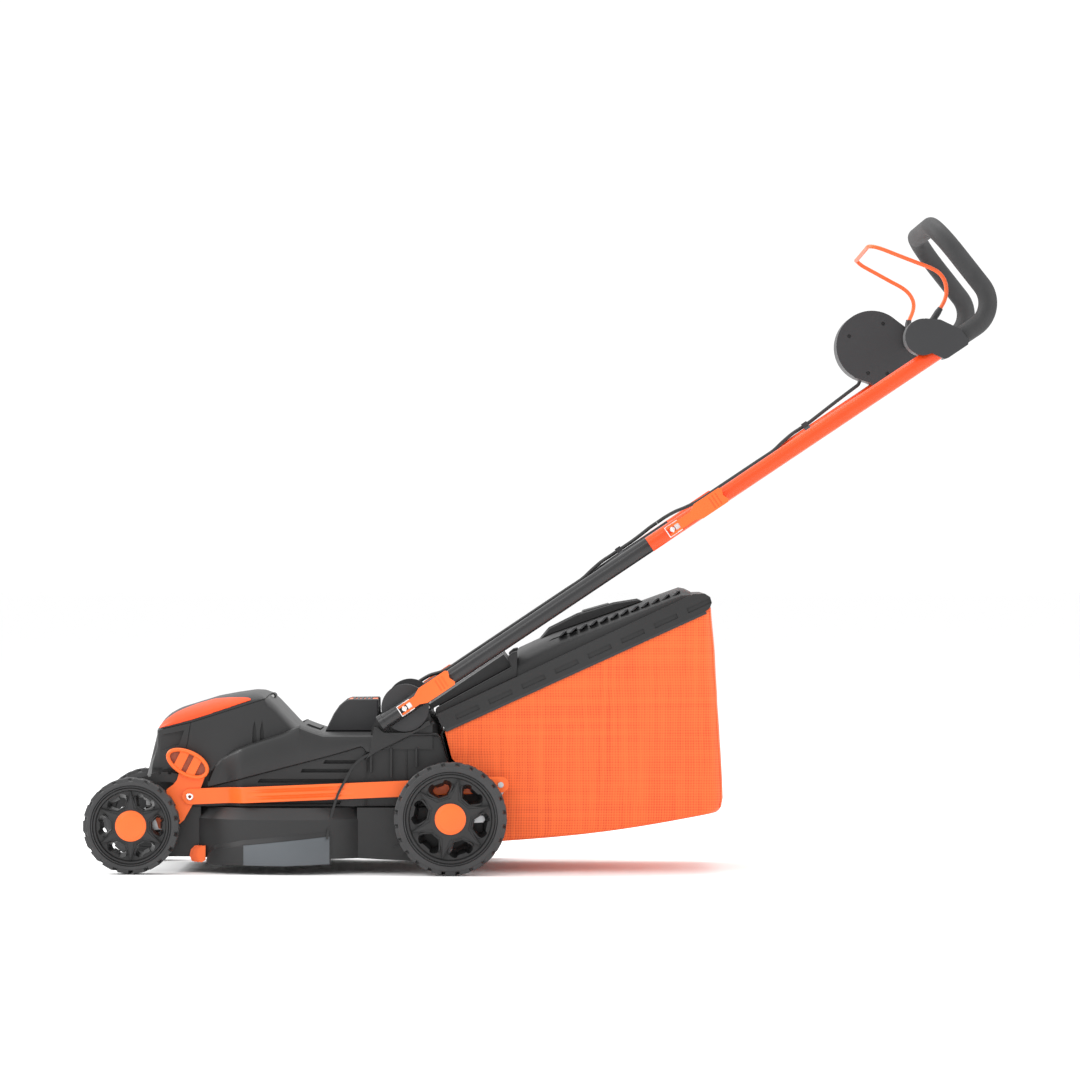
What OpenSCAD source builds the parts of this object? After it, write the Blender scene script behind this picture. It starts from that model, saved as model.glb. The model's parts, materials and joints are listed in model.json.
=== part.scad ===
// Cordless rotary lawn mower with grass bag and folding handle.
// X runs from the nose to the handle, Y from left to right, Z up; the wheels stand on Z = 0.

/* [Wheels] */
// Diameter of the front wheels
front_wheel_d = 152.4; // [140:0.1:156]
// Diameter of the rear wheels
rear_wheel_d = 178; // [170:0.1:182]
// Width of a front tyre
front_wheel_w = 36; // [30:1:38]
// Width of a rear tyre
rear_wheel_w = 40; // [34:1:42]
// Distance from the middle plane to a front wheel's inner side
front_wheel_y = 144; // [144:1:148]
// Distance from the middle plane to a rear wheel's inner side
rear_wheel_y = 175; // [175:1:178]
// Tread blocks on a front tyre
front_lugs = 18; // [12:1:24]
// Tread blocks on a rear tyre
rear_lugs = 24; // [18:1:30]
// Diameter of the wheel axles
axle_d = 12; // [10:1:13]

/* [Cutting deck] */
// Outside radius of the blade housing
ring_r = 190; // [188:1:191]
// Thickness of the moulded walls
wall = 4; // [3:0.5:4.5]
// Blade length from tip to tip
blade_len = 360; // [330:1:362]
// Blade width
blade_w = 48; // [40:1:52]
// Height of the blade's underside above the ground at the lowest cut
blade_z = 38; // [36:1:44]
// Diameter of the motor
motor_d = 76; // [68:1:77]

/* [Handle] */
// Outside diameter of the handle tubes
tube_d = 25; // [22:0.5:25]
// Wall of the handle tubes
tube_wall = 1.5; // [1:0.1:3]
// Outside diameter of the foam grip
grip_d = 30; // [28:0.5:32]
// Slope of the handle above the horizontal
handle_angle = 33.8; // [33:0.1:34.5]
// Length of the lower handle from its pivot to the middle joint
lower_len = 508.4; // [500:0.1:515]
// Length of the upper handle from the middle joint to its corner
upper_len = 623.8; // [600:0.1:640]
// Length of the grip leg above the corner
grip_leg = 171.6; // [150:0.1:180]
// Turn of the handle at its corner
corner_turn = 94.4; // [85:0.1:96]
// Diameter of the switch bail's wire
bail_d = 6.4; // [5:0.1:7]
// Diameter of the switch cable
cable_d = 6; // [5:0.1:6.4]

/* [Grass bag] */
// Half of the bag's width
bag_half = 144; // [130:1:145]
// Half of the bag lid's width
lid_half = 148; // [146:1:149]
// Thickness of the bag's cloth
cloth = 2.5; // [1.5:0.1:4]

/* [Hidden] */
$fn = 64;
charcoal = "#3c3c3c";
black = "#222222";
orange = "#f97b3c";
tube_orange = "#fb5a32";
zinc = "#d8d8d8";
steel = "#9aa0a6";

// gap of a running fit, and between parts that move past each other
fit = 0.05;
gap = 0.3;

// axles and the pivots of their cranks
front_r = front_wheel_d / 2;
rear_r = rear_wheel_d / 2;
front_axle_at = [-647, front_r];
rear_axle_at = [-141, rear_r];
front_pivot = front_axle_at + [50, 3.8];
rear_pivot = rear_axle_at + [51, 3.8];
front_bar_pin = front_pivot + [41, 40.7];
gate_r = 79;
rear_bar_pin = rear_pivot + [28, 48.2];
axle_r = axle_d / 2;

// blade housing
blade_x = -397;
ring_bottom = 24;
ring_top = 86;
deck_top = 104;
step_r = ring_r - 14;
chute_half = 120;
flange = 12;

// body widths, as distances from the middle plane
body_half = 156;
top_half = 134;
nose_half = 122;

// handle frame
lower_pivot = [-214, 262];
tube_r = tube_d / 2;
lower_y = 165;
upper_y = 191;
lower_cam_y = 187.5;
upper_cam_y = 213.5;
mid_joint = lower_pivot + lower_len * [cos(handle_angle), sin(handle_angle)];
bolt_r = 4;
tail = 42;
stub = 9;
upper_tail = 43;
corner_r = 45;
top_bend_r = 60;
corner_t = corner_r * tan(corner_turn / 2);
disc_r = 37.7;
grip_start = 541;

// side outlines, [x, z]
chute_outline = [[-214, 24], [-82, 106], [-82, 126], [-143, 172], [-156, 219], [-170, 219], [-285, 104]];
chute_hollow = [[-270, 29], [-215, 29], [-60, 123.6], [-60, 214.5], [-168.5, 214.5], [-285, 98],
    [-300, 98]];
apron_outline = [[-628, 104], [-628, 60], [-600, 24.3], [-540, 24.3], [-540, 104]];
apron_hollow = [[-624, 100], [-624, 62], [-597, 20], [-520, 20], [-520, 100]];
cheek_outline = [[-290, 24], [-203, 19.5], [-170, 22], [-78, 70], [-78, 104], [-290, 104]];
side_outline = [[-474, 104.2], [-474, 151.6], [-433, 162], [-333, 188], [-275, 204], [-275, 196],
    [-170, 196],
    [-170, 238], [-162, 238], [-145, 180], [-145, 104.2]];
top_outline = [[-381.6, 104.2], [-381.6, 235.5], [-345, 221], [-262, 221], [-258, 256], [-190, 256],
    [-178, 254], [-163, 236], [-147, 180], [-147, 104.2]];
nose_outline = [[-624.5, 160], [-622, 175], [-613, 187.5], [-609, 212], [-608, 226], [-441, 273.2],
    [-424, 273.2], [-382, 236], [-382, 160]];
nose_low_outline = [[-630, 104.2], [-629, 152], [-624.5, 160.1], [-490, 160.1], [-490, 104.2]];
lid_outline = [[-608, 226.4], [-596, 244], [-574, 261], [-548, 270], [-512, 281], [-482, 286],
    [-453, 289.6],
    [-436, 283.5], [-431, 281], [-437, 274.8]];
trim_outline = [[-604.5, 230.5], [-594, 243.5], [-572, 257.5], [-545, 266], [-510, 275], [-480, 279],
    [-455, 275.6]];
lid_hinge = [-431, 276.4];
rod_r = 2.5;
hump_outline = [[-345, 221.2], [-325, 259], [-316, 268.7], [-307, 273.7], [-258.5, 273.7],
    [-258.5, 255], [-262.5, 221.2]];
bracket_outline = [[-274.5, 196.3], [-266, 232], [-248, 262], [-232, 276], [-214, 281], [-196, 276],
    [-177, 262],
    [-172.5, 238], [-170.5, 230], [-170.5, 196.3]];
ledge_outline = [[-274.5, 196.3], [-270, 203], [-237.8, 203.4], [-170.5, 237.4], [-170.5, 196.3]];
skirt_outline = [[-530, 14], [-524, 33], [-470, 46], [-331, 61], [-331, 15.6], [-402, 13]];
lever_outline = [[-572, 158], [-579, 143], [-592.7, 132.7], [-611, 86], [-606, 70], [-590, 68],
    [-565.6, 83.4],
    [-540.2, 131.1], [-529, 158]];
flap_hinge = [-178, 262];
flap_outline = [[-177, 266], [-58, 346], [-44.7, 328.6], [-174, 258]];
flap_hollow = [[-168, 267], [-62, 338.5], [-50, 323], [-160, 263]];
lid_rim = [[-150, 227.4], [263, 415], [272.7, 429], [266, 443], [243.7, 442.6], [-163.5, 252]];
lid_rim_hollow = [[-145, 225], [262, 410], [268, 427], [262, 438.5], [245, 438.5], [-158, 249.5],
    [-146.5, 228]];
lid_top = [[-120, 268], [-42, 310], [-24, 352], [19, 378], [217, 449], [224, 453.7], [243.7, 442.6],
    [244, 430]];
lid_top_hollow = [[-100, 260], [-38, 300], [-20, 349], [20, 374], [217, 444.6], [223, 448.5],
    [238, 440], [238, 400]];
pocket_outline = [[30, 381.5], [42, 360], [138, 394], [150, 424.5]];
pocket_hollow = [[36, 400], [36, 381], [46, 366], [134, 397.5], [144, 422], [144, 440]];
bag_outline = [[-150, 222], [-138, 175], [-73, 130], [-68, 46], [0, 53.5], [117, 63.7], [206, 75.7],
    [262, 86],
    [281, 92], [291, 105], [272, 417.5]];
bag_hollow = [[-146.5, 221], [-134.8, 177], [-69.8, 132], [-65.6, 49], [0, 56.2], [117, 66.4], [206, 78.4],
    [261, 88.7], [279.5, 94.5], [288.2, 106], [268.5, 430], [-148, 240]];
bag_mouth = [[-158, 208], [-144, 178], [-86, 136], [-50, 136], [-50, 208]];
frame_path = [[-52, 61], [40, 68], [150, 79], [240, 91], [268, 97], [279, 108], [276, 160], [262, 396]];

// bail wire and cable, [x, y, z]
bail_path = [[633, -158, 893], [641, -158, 908], [644, -158, 922], [642, -158, 937], [634, -158, 950],
    [620, -158, 959], [543, -158, 989], [530, -156, 993], [523, -148, 994], [521, -134, 994],
    [520, 110, 988],
    [520, 124, 987.5], [524, 132, 985], [531, 134, 979.5], [597, 134, 943], [609, 134, 932],
    [615, 134, 919],
    [614, 134, 905], [607, 134, 888]];
// the cable in each handle's own frame, [along the tube, y, above the tube]
cable_upper_path = [[404.2, 188, 26.3], [399.5, 188, 22.8], [388, 188.5, 22], [354, 190, 20],
    [325, 191, 18],
    [300, 191, 16.2], [289, 191, 15.9], [278, 191, 15.9], [262, 186.8, 16], [240, 181.5, 13.4],
    [220, 178.2, 10.2], [75, 178.2, 10.2], [50, 173, 13], [30, 168, 17], [12, 165, 18.6],
    [-5.8, 165, 18.6]];
cable_lower_path = [[502.2, 165, 18.6], [488, 165, 18.4], [470, 165, 17], [452, 165, 16], [440, 165, 15.9],
    [425, 165, 15.9], [408, 165, 15.9], [390, 160.8, 16], [368, 155.5, 13.4], [348, 152.3, 10.2],
    [80, 152.3, 10.2], [66, 154, 13], [54, 158, 17], [44, 160, 18.6], [32, 160, 19], [24.4, 157.4, 19.2],
    [24.2, 153.6, 19.2]];

// ---- helpers ----

// a side outline made solid from y0 to y1
module side_plate(outline, y0, y1)
    translate([0, y1, 0]) rotate([90, 0, 0]) linear_extrude(y1 - y0) polygon(outline);

// a round bar along Y through the side point c
module cross_bar(c, y0, y1, r)
    translate([c[0], y1, c[1]]) rotate([90, 0, 0]) cylinder(h = y1 - y0, r = r);

// the same shape on the left and on the right
module both_sides() {
    children();
    mirror([0, 1, 0]) children();
}

// outline of a link between two side points: round eyes and a web a little narrower than they are
module link_outline(a, b, r) {
    d = b - a;
    web = 2 * r - 1;
    translate(a) circle(r);
    translate(b) circle(r);
    translate(a) rotate(atan2(d[1], d[0])) translate([0, -web / 2]) square([norm(d), web]);
}

// a flat link from y0 to y1
module link(a, b, r, y0, y1)
    translate([0, y1, 0]) rotate([90, 0, 0]) linear_extrude(y1 - y0) link_outline(a, b, r);

// places shapes in a handle's own frame: X along the tube, Z square to it and up
module on_handle(at) translate([at[0], 0, at[1]]) rotate([0, -handle_angle, 0]) children();

// round sections swept along points as one closed skin; their sides turn with the path without twisting
function unit(v) = v / norm(v);
function square_to(u, t) = unit(u - (u * t) * t);
function tangents(p) = let (n = len(p)) [for (i = [0:n - 1]) unit(p[min(i + 1, n - 1)] - p[max(i - 1, 0)])];
function sides_along(t) = let (n = len(t)) [for (i = 0, side = square_to([0.3, 1, 0.2], t[0]); i < n;
    i = i + 1, side = square_to(side, t[min(i, n - 1)])) side];
function sweep_rings(p, r, sides) = let (t = tangents(p), u = sides_along(t))
    [for (i = [0:len(p) - 1], k = [0:sides - 1])
        p[i] + r * (cos(360 * k / sides) * u[i] + sin(360 * k / sides) * cross(t[i], u[i]))];

module wire(points, r, sides = 10) {
    n = len(points);
    skin = [for (i = [0:n - 2], k = [0:sides - 1])
        let (k2 = (k + 1) % sides)
        [i * sides + k, (i + 1) * sides + k, (i + 1) * sides + k2, i * sides + k2]];
    polyhedron(sweep_rings(points, r, sides), concat(skin,
        [[for (k = [0:sides - 1]) k]],
        [[for (k = [sides - 1:-1:0]) (n - 1) * sides + k]]));
}

// a hollow tube between the radii r0 and r, open at both ends
module pipe(points, r, r0, sides = 16) {
    n = len(points);
    last = (n - 1) * sides;
    inner = n * sides;
    outside = [for (i = [0:n - 2], k = [0:sides - 1])
        let (k2 = (k + 1) % sides, a = i * sides, b = a + sides) [a + k, b + k, b + k2, a + k2]];
    inside = [for (f = outside) [for (j = [3:-1:0]) f[j] + inner]];
    ends = [for (k = [0:sides - 1])
        let (k2 = (k + 1) % sides)
        each [[k, k2, inner + k2, inner + k], [last + k2, last + k, inner + last + k, inner + last + k2]]];
    polyhedron(concat(sweep_rings(points, r, sides), sweep_rings(points, r0, sides)),
        concat(outside, inside, ends));
}

// ---- cutting deck ----

module deck_housing() color(charcoal) difference() {
    union() {
        translate([blade_x, 0, ring_bottom]) cylinder(h = ring_top - ring_bottom, r = ring_r, $fn = 128);
        // sloped shoulder
        translate([blade_x, 0, ring_top])
            cylinder(h = deck_top - ring_top, r1 = ring_r, r2 = step_r, $fn = 128);
        difference() {
            side_plate(apron_outline, -nose_half, nose_half);
            side_plate(apron_hollow, -nose_half + wall, nose_half - wall);
            cross_bar(front_pivot, -nose_half - 1, nose_half + 1, axle_r + fit);
        }
        both_sides() difference() {
            side_plate(cheek_outline, chute_half + 2, body_half);
            translate([-286, chute_half + 2 + wall, 0]) cube([204, body_half - chute_half - 2 - 2 * wall, 100]);
            cross_bar(rear_pivot, chute_half, body_half + 1, axle_r + fit);
        }
    }
    translate([blade_x, 0, 0]) cylinder(h = ring_top - wall, r = ring_r - 6, $fn = 128);
    translate([blade_x, 0, 0]) cylinder(h = deck_top - wall, r = step_r - 6, $fn = 128);
    translate([blade_x, 0, 90]) cylinder(h = 30, r = 22);
    translate([-285, -chute_half - gap, 10]) cube([203 + gap, 2 * (chute_half + gap), 110]);
}

module rear_chute() color(charcoal) difference() {
    side_plate(chute_outline, -chute_half, chute_half);
    side_plate(chute_hollow, -chute_half + wall, chute_half - wall);
}

// the motor stands through the wall between the shell and the nose
module motor_opening() translate([blade_x, 0, 99]) cylinder(h = 106, r = motor_d / 2 + flange + 2);

module body_shell() color(charcoal) difference() {
    union() {
        side_plate(side_outline, -body_half, body_half);
        side_plate(top_outline, -top_half, top_half);
        // lugs for the flap's rod
        both_sides() link(flap_hinge, [-187, 250.5], 5, 119.3, 127);
    }
    // one space under the shell for the motor, the controller and the chute
    side_plate([[-470, 100], [-470, 148.5], [-433, 158], [-333, 184], [-279, 196], [-279, 192], [-166, 192],
        [-166, 234], [-163.5, 230], [-149, 179], [-149, 100]], -body_half + wall, body_half - wall);
    side_plate([[-377, 100], [-377, 229], [-345, 217], [-258, 217], [-254, 252], [-191, 252], [-180, 250],
        [-168, 235], [-151, 180], [-151, 100]], -top_half + wall, top_half - wall);
    // the nose stands in the front opening, the brackets in the side recesses
    side_plate([[-490, 100], [-490, 250], [-381.6, 250], [-381.6, 100]], -top_half - gap, top_half + gap);
    side_plate([[-174, 222], [-130, 222], [-130, 100], [-174, 100]], -chute_half - 1, chute_half + 1);
    cross_bar(flap_hinge, -128, 128, rod_r + fit);
    motor_opening();
    // cooling slots in both walls
    for (row = [0:3])
        translate([-378 + 8 * row, -body_half - 1, 160 - 14 * row])
            cube([90 + 14 * row - 8 * row, 2 * body_half + 2, 4.5]);
}

module nose_housing() color(charcoal) difference() {
    union() {
        side_plate(nose_outline, -top_half, top_half);
        side_plate(nose_low_outline, -nose_half, nose_half);
        side_plate([[-516, 104.2], [-516, 160.1], [-448, 160.1], [-448, 104.2]], -top_half, top_half);
        both_sides() cross_bar(lid_hinge, 20, 34, 5);
    }
    // battery bay, open at the top
    side_plate([[-622, 112], [-620, 164], [-604, 195], [-600, 290], [-456, 290], [-456, 112]],
        -nose_half + wall, nose_half - wall);
    side_plate([[-617, 164], [-604, 195], [-600, 290], [-456, 290], [-456, 164]],
        -top_half + wall, top_half - wall);
    // room over the motor
    side_plate([[-448, 100], [-448, 262], [-437, 269], [-426, 269], [-386, 234], [-386, 100]],
        -top_half + wall, top_half - wall);
    motor_opening();
    both_sides() cross_bar(lid_hinge, 6, 20 - gap, 5.8);
    cross_bar(lid_hinge, -36, 36, rod_r + fit);
}

module carry_handle() color(black) {
    both_sides() side_plate(hump_outline, 48, 64);
    side_plate([[-318, 256], [-318, 266.5], [-307, 270.6], [-266, 270.6], [-262, 266],
        [-262, 256]], -48, 48);
}

module carry_grip() color(orange) difference() {
    side_plate([[-318, 266.6], [-307, 270.7], [-266, 270.7], [-266, 273.7], [-307, 273.7], [-316, 268.8]],
        -47.8, 47.8);
    // grooves between the grip's ribs
    for (x = [-303:6:-270]) translate([x, -44, 272.2]) cube([2.4, 88, 4]);
}

module handle_brackets() color(charcoal) both_sides() difference() {
    union() {
        side_plate(bracket_outline, top_half + gap, 141.5);
        side_plate(ledge_outline, top_half + gap, 150);
    }
    cross_bar(lower_pivot, 130, 155, bolt_r + fit);
}

module side_skirts() color(charcoal) intersection() {
    translate([blade_x, 0, 0]) difference() {
        cylinder(h = 70, r = ring_r + 5, $fn = 128);
        translate([0, 0, -1]) cylinder(h = 72, r = ring_r, $fn = 128);
    }
    both_sides() side_plate(skirt_outline, 100, 200);
}

// three curved fins ahead of each skirt lift the grass at the edge
module grass_combs() color(orange) both_sides()
    for (y = [nose_half + 2.5, nose_half + 8.5, nose_half + 14.5]) {
        x = blade_x - sqrt(pow(ring_r, 2) - pow(y - 2, 2)) - gap;
        side_plate([[x, 20], [x - 6, 16], [x - 12, 18], [x - 15, 27], [x - 13, 36], [x - 7, 42], [x, 43]],
            y - 2, y + 2);
    }

// notched plate that the height lever's catch drops into
module height_gate() color(charcoal) {
    translate([0, -130, 0]) rotate([90, 0, 0]) linear_extrude(3.6) translate(front_pivot) difference() {
        intersection() {
            circle(gate_r);
            polygon([[0, 0], [46, 110], [-110, 110], [-110, 90]]);
        }
        circle(gate_r - 15);
        for (a = [72:12:132]) rotate(a) translate([gate_r - 3, -2.5]) square([8, 5]);
    }
    // feet on the nose's side
    for (a = [76, 106]) translate([0, -nose_half - gap, 0]) rotate([90, 0, 0]) translate(front_pivot)
        rotate(a) translate([gate_r - 8, 0, 0]) cylinder(h = 130 - nose_half, r = 4);
}

module motor() color(steel) difference() {
    union() {
        translate([blade_x, 0, 110]) cylinder(h = 84, r = motor_d / 2);
        translate([blade_x, 0, deck_top]) cylinder(h = 6, r = motor_d / 2 + flange);
        translate([blade_x, 0, 194]) cylinder(h = 6, r = 26);
    }
    translate([blade_x, 0, 100]) cylinder(h = 60, r = axle_r + fit);
    for (a = [45:90:359]) translate([blade_x, 0, 100]) rotate(a) translate([motor_d / 2 + flange / 2, 0, 0])
        cylinder(h = 12, r = 2.6);
}

module controller_box() color(black) difference() {
    translate([-340, -60, 190]) cube([70, 120, 24]);
    for (x = [-334:8:-276]) translate([x, -56, 211]) cube([3, 112, 5]);
}

module battery_pack() color(black) difference() {
    union() {
        translate([-594, -52, 112]) cube([124, 104, 76]);
        translate([-584, -40, 188]) cube([104, 80, 14]);
    }
    both_sides() translate([-560, 46, 150]) cube([60, 10, 24]);
}

module isolator_key() color(orange) {
    translate([-466, 74, 112]) cube([8, 22, 84]);
    translate([-475, 66, 196]) cube([18, 38, 10]);
}

module deck_screws() color(zinc) {
    for (a = [45:90:359]) translate([blade_x, 0, 110]) rotate(a) translate([motor_d / 2 + flange / 2, 0, 0]) {
        translate([0, 0, -6]) cylinder(h = 6, r = 2.6);
        cylinder(h = 4, r = 5);
    }
    // round boss behind each side skirt
    both_sides() cross_bar([-223.5, 36], body_half, body_half + 3, 8.9);
}

module hinge_rods() color(zinc) {
    cross_bar(lid_hinge, -35, 35, rod_r);
    cross_bar(flap_hinge, -127, 127, rod_r);
}

// ---- battery lid ----

module battery_lid() color(charcoal) difference() {
    union() {
        difference() {
            side_plate(lid_outline, -top_half, top_half);
            side_plate([[-603, 220], [-592, 240], [-572, 256], [-546, 266], [-511, 277], [-481, 282],
                [-454, 285], [-441, 280], [-441, 268]], -top_half + wall, top_half - wall);
        }
        both_sides() cross_bar(lid_hinge, 6.3, 19.4, 5);
    }
    both_sides() cross_bar(lid_hinge, 19.7, 34.6, 6.2);
    cross_bar(lid_hinge, -36, 36, rod_r + fit);
}

module lid_trim() color(orange) both_sides() side_plate(trim_outline, top_half, top_half + 2.4);

// ---- blade ----

module blade() color(steel) translate([blade_x, 0, blade_z]) difference() {
    intersection() {
        union() {
            translate([-blade_len / 2, -blade_w / 2, 0]) cube([blade_len, blade_w, 3]);
            // lift wings at the trailing corners
            for (a = [0, 180]) rotate(a)
                translate([blade_len / 2 - 62, -blade_w / 2, 2.9]) rotate([14, 0, 0]) cube([60, 14, 2]);
        }
        translate([0, 0, -2]) cylinder(h = 30, r = blade_len / 2);
    }
    translate([0, 0, -1]) cylinder(h = 6, r = bolt_r + fit);
}

module blade_spindle() color(steel) translate([blade_x, 0, blade_z + 3]) difference() {
    union() {
        cylinder(h = 18, r = 19);
        translate([0, 0, 18]) cylinder(h = 6, r = 13);
        translate([0, 0, 24]) cylinder(h = 90, r = axle_r);
        // cooling fan vanes
        for (a = [0:45:359]) rotate(a) translate([12, -1, 4]) cube([34, 2, 12]);
        translate([0, 0, 14]) cylinder(h = 3, r = 47);
    }
    translate([0, 0, -1]) cylinder(h = 20, r = bolt_r + fit);
}

module blade_bolt() color(zinc) translate([blade_x, 0, blade_z]) {
    translate([0, 0, -9]) cylinder(h = 7, r = 9, $fn = 6);
    translate([0, 0, -2]) cylinder(h = 2, r = 14);
    cylinder(h = 18, r = bolt_r);
}

// ---- height adjustment ----

module front_axle() color(steel) {
    cross_bar(front_pivot, -134.2, 132, axle_r);
    both_sides() link(front_pivot, front_axle_at, 12, 126, 132);
    both_sides() cross_bar(front_axle_at, 131, front_wheel_y + front_wheel_w - 6, axle_r);
}

function ellipse(a, b, tilt, c) = [for (k = [0:47])
    let (p = [a * cos(k * 7.5), b * sin(k * 7.5)])
    c + [p[0] * cos(tilt) - p[1] * sin(tilt), p[0] * sin(tilt) + p[1] * cos(tilt)]];

module height_lever() color(orange) {
    head = [-559.5, 174];
    difference() {
        union() {
            side_plate(lever_outline, -138.2, -134.2);
            side_plate(ellipse(36.5, 20.6, -27, head), -150, -134.2);
        }
        difference() {
            side_plate(ellipse(31.5, 16, -27, head), -151, -147);
            translate([head[0], 0, head[1]]) rotate([0, 27, 0])
                for (x = [-27, 0, 27]) translate([x, -152, 0]) rotate([0, 14, 0])
                    translate([-9.5, 0, -40]) cube([19, 6, 80]);
        }
        cross_bar(front_bar_pin, -140, -130, 3);
    }
}

module lever_rivet() color(zinc) {
    cross_bar(front_bar_pin, -144, -134.5, 3);
    cross_bar(front_bar_pin, -145.6, -143, 5.6);
}

module tie_bar() color(orange) {
    bar_dir = rear_bar_pin - front_bar_pin;
    tilt = atan2(bar_dir[1], bar_dir[0]);
    long = norm(bar_dir);
    translate([front_bar_pin[0], 0, front_bar_pin[1]]) rotate([0, -tilt, 0]) difference() {
        intersection() {
            // the strip seen from above, with its joggle outwards
            translate([0, 0, -15]) linear_extrude(30) polygon([[-14, -142.6], [56, -142.6], [91, -170.5],
                [long + 14, -170.5], [long + 14, -166], [93, -166], [57.5, -138.6], [-14, -138.6]]);
            translate([0, -130, 0]) rotate([90, 0, 0]) linear_extrude(60) difference() {
                union() {
                    circle(12.5);
                    translate([long, 0]) circle(12.5);
                    translate([0, -12.5]) square([long, 25]);
                }
                circle(3 + fit);
                // the rear eye is loose on its pin, so that the linkage never binds
                translate([long, 0]) circle(7.4);
            }
        }
        // two pressed grooves
        for (z = [-5.2, 5.2]) translate([104, -171, z]) rotate([0, 90, 0]) cylinder(h = 148, r = 1.6);
    }
}

module rear_axle() color(steel) {
    cross_bar(rear_pivot, -160, 160, axle_r);
    link(rear_pivot, rear_axle_at, 12, 159, 164);
    both_sides() cross_bar(rear_axle_at, 163, rear_wheel_y + rear_wheel_w - 6, axle_r);
    // bell crank on the left, with the pin for the tie bar
    translate([0, -159, 0]) rotate([90, 0, 0]) linear_extrude(5) {
        link_outline(rear_pivot, rear_axle_at, 12);
        link_outline(rear_pivot, rear_bar_pin, 10.5);
    }
    cross_bar(rear_bar_pin, -173, -163, 4.5);
}

// ---- wheels: r radius, w width; drawn with the inner side on Y = 0 and the outer side towards -Y ----

module tyre(r, w, lugs) color(black) rotate([90, 0, 0]) difference() {
    union() {
        rotate_extrude($fn = 96) polygon([[0.8 * r, 1], [r - 4, 1], [r - 2.6, 4], [r - 2.6, w - 4],
            [r - 4, w - 1], [0.8 * r, w - 1]]);
        intersection() {
            for (k = [0:lugs - 1]) rotate(k * 360 / lugs) translate([r - 8, -r * 1.7 / lugs, 0])
                cube([9, r * 3.4 / lugs, w]);
            cylinder(h = w, r = r, $fn = 96);
        }
    }
    translate([0, 0, -1]) cylinder(h = w + 2, r = 0.8 * r, $fn = 96);
}

// six windows between the rays of a star
module rim(r, w, turn) color(charcoal) rotate([90, 0, 0]) rotate(turn) difference() {
    union() {
        rotate_extrude($fn = 96) polygon([[axle_r + fit, 4], [0.24 * r, 4], [0.3 * r, w - 14],
            [0.7 * r, w - 12],
            [0.73 * r, 2], [0.8 * r, 2], [0.8 * r, w - 2], [0.72 * r, w - 3], [0.68 * r, w - 7],
            [0.34 * r, w - 5], [axle_r + fit, w - 5]]);
        for (a = [30:60:359]) rotate(a) translate([0, 0, w - 8]) linear_extrude(6)
            polygon([[0.3 * r, -0.1 * r], [0.73 * r, -0.012 * r], [0.73 * r, 0.012 * r],
                [0.3 * r, 0.1 * r]]);
    }
    for (a = [0:60:359]) rotate(a) translate([0, 0, -1]) linear_extrude(w + 2)
        polygon([[0.38 * r, -0.1 * r], [0.46 * r, -0.2 * r], [0.6 * r, -0.22 * r], [0.67 * r, -0.12 * r],
            [0.67 * r, 0.12 * r], [0.6 * r, 0.22 * r], [0.46 * r, 0.2 * r], [0.38 * r, 0.1 * r]]);
    translate([0, 0, w - 5]) cylinder(h = 9, r = 16);
}

module hubcap(w) color(orange) rotate([90, 0, 0]) rotate_extrude($fn = 96)
    polygon([[0, w - 4.9], [15.8, w - 4.9], [15.8, w - 2], [24.6, w - 2], [24.6, w - 0.5], [20, w + 2.2],
        [0, w + 3]]);

module at_wheel(front, left) {
    c = front ? front_axle_at : rear_axle_at;
    y = front ? front_wheel_y : rear_wheel_y;
    if (left) translate([c[0], -y, c[1]]) children();
    else mirror([0, 1, 0]) translate([c[0], -y, c[1]]) children();
}

module front_tyre(left) at_wheel(true, left) tyre(front_r, front_wheel_w, front_lugs);
module front_rim(left) at_wheel(true, left) rim(front_r, front_wheel_w, 0);
module front_hubcap(left) at_wheel(true, left) hubcap(front_wheel_w);
module rear_tyre(left) at_wheel(false, left) tyre(rear_r, rear_wheel_w, rear_lugs);
module rear_rim(left) at_wheel(false, left) rim(rear_r, rear_wheel_w, 48.5);
module rear_hubcap(left) at_wheel(false, left) hubcap(rear_wheel_w);

// ---- rear flap and grass bag ----

module rear_flap() color(charcoal) difference() {
    union() {
        difference() {
            side_plate(flap_outline, -118, 118);
            side_plate(flap_hollow, -114, 114);
        }
        both_sides() cross_bar(flap_hinge, 96, 112, 5.5);
    }
    cross_bar(flap_hinge, -123, 123, rod_r + fit);
}

module bag_lid() color(charcoal) {
    difference() {
        union() {
            difference() {
                union() {
                    side_plate(lid_rim, -lid_half, lid_half);
                    side_plate(lid_top, -124, 124);
                }
                side_plate(lid_rim_hollow, -lid_half + wall, lid_half - wall);
                side_plate(lid_top_hollow, -120, 120);
            }
            side_plate(pocket_outline, -52, 52);
        }
        side_plate(pocket_hollow, -49, 49);
        // slanted vents near both edges
        for (i = [0:10]) translate([30 + 17 * i, 0, 384 + 6.1 * i]) rotate([0, -19.5, 0])
            both_sides() translate([0, 100, -12]) rotate([0, 0, 25]) cube([3, 17, 20]);
    }
    // solid shoulders beside the flap
    both_sides() side_plate([[-158, 253], [-154, 265], [-46, 325.5], [-30, 330], [-30, 313]], 119.5, 137);
    // raised grip over the pocket, which the bag is carried by
    both_sides() side_plate([[-2, 366], [14, 386], [60, 412], [120, 429], [158, 434], [166, 430],
        [150, 424.5],
        [19, 377.5]], 52.1, 62);
    side_plate([[66, 401], [68, 414.2], [112, 426.7], [114, 414]], -52.2, 52.2);
}

module bag_fabric() color(orange) difference() {
    side_plate(bag_outline, -bag_half, bag_half);
    side_plate(bag_hollow, -bag_half + cloth, bag_half - cloth);
    side_plate(bag_mouth, -112, 112);
}

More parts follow.
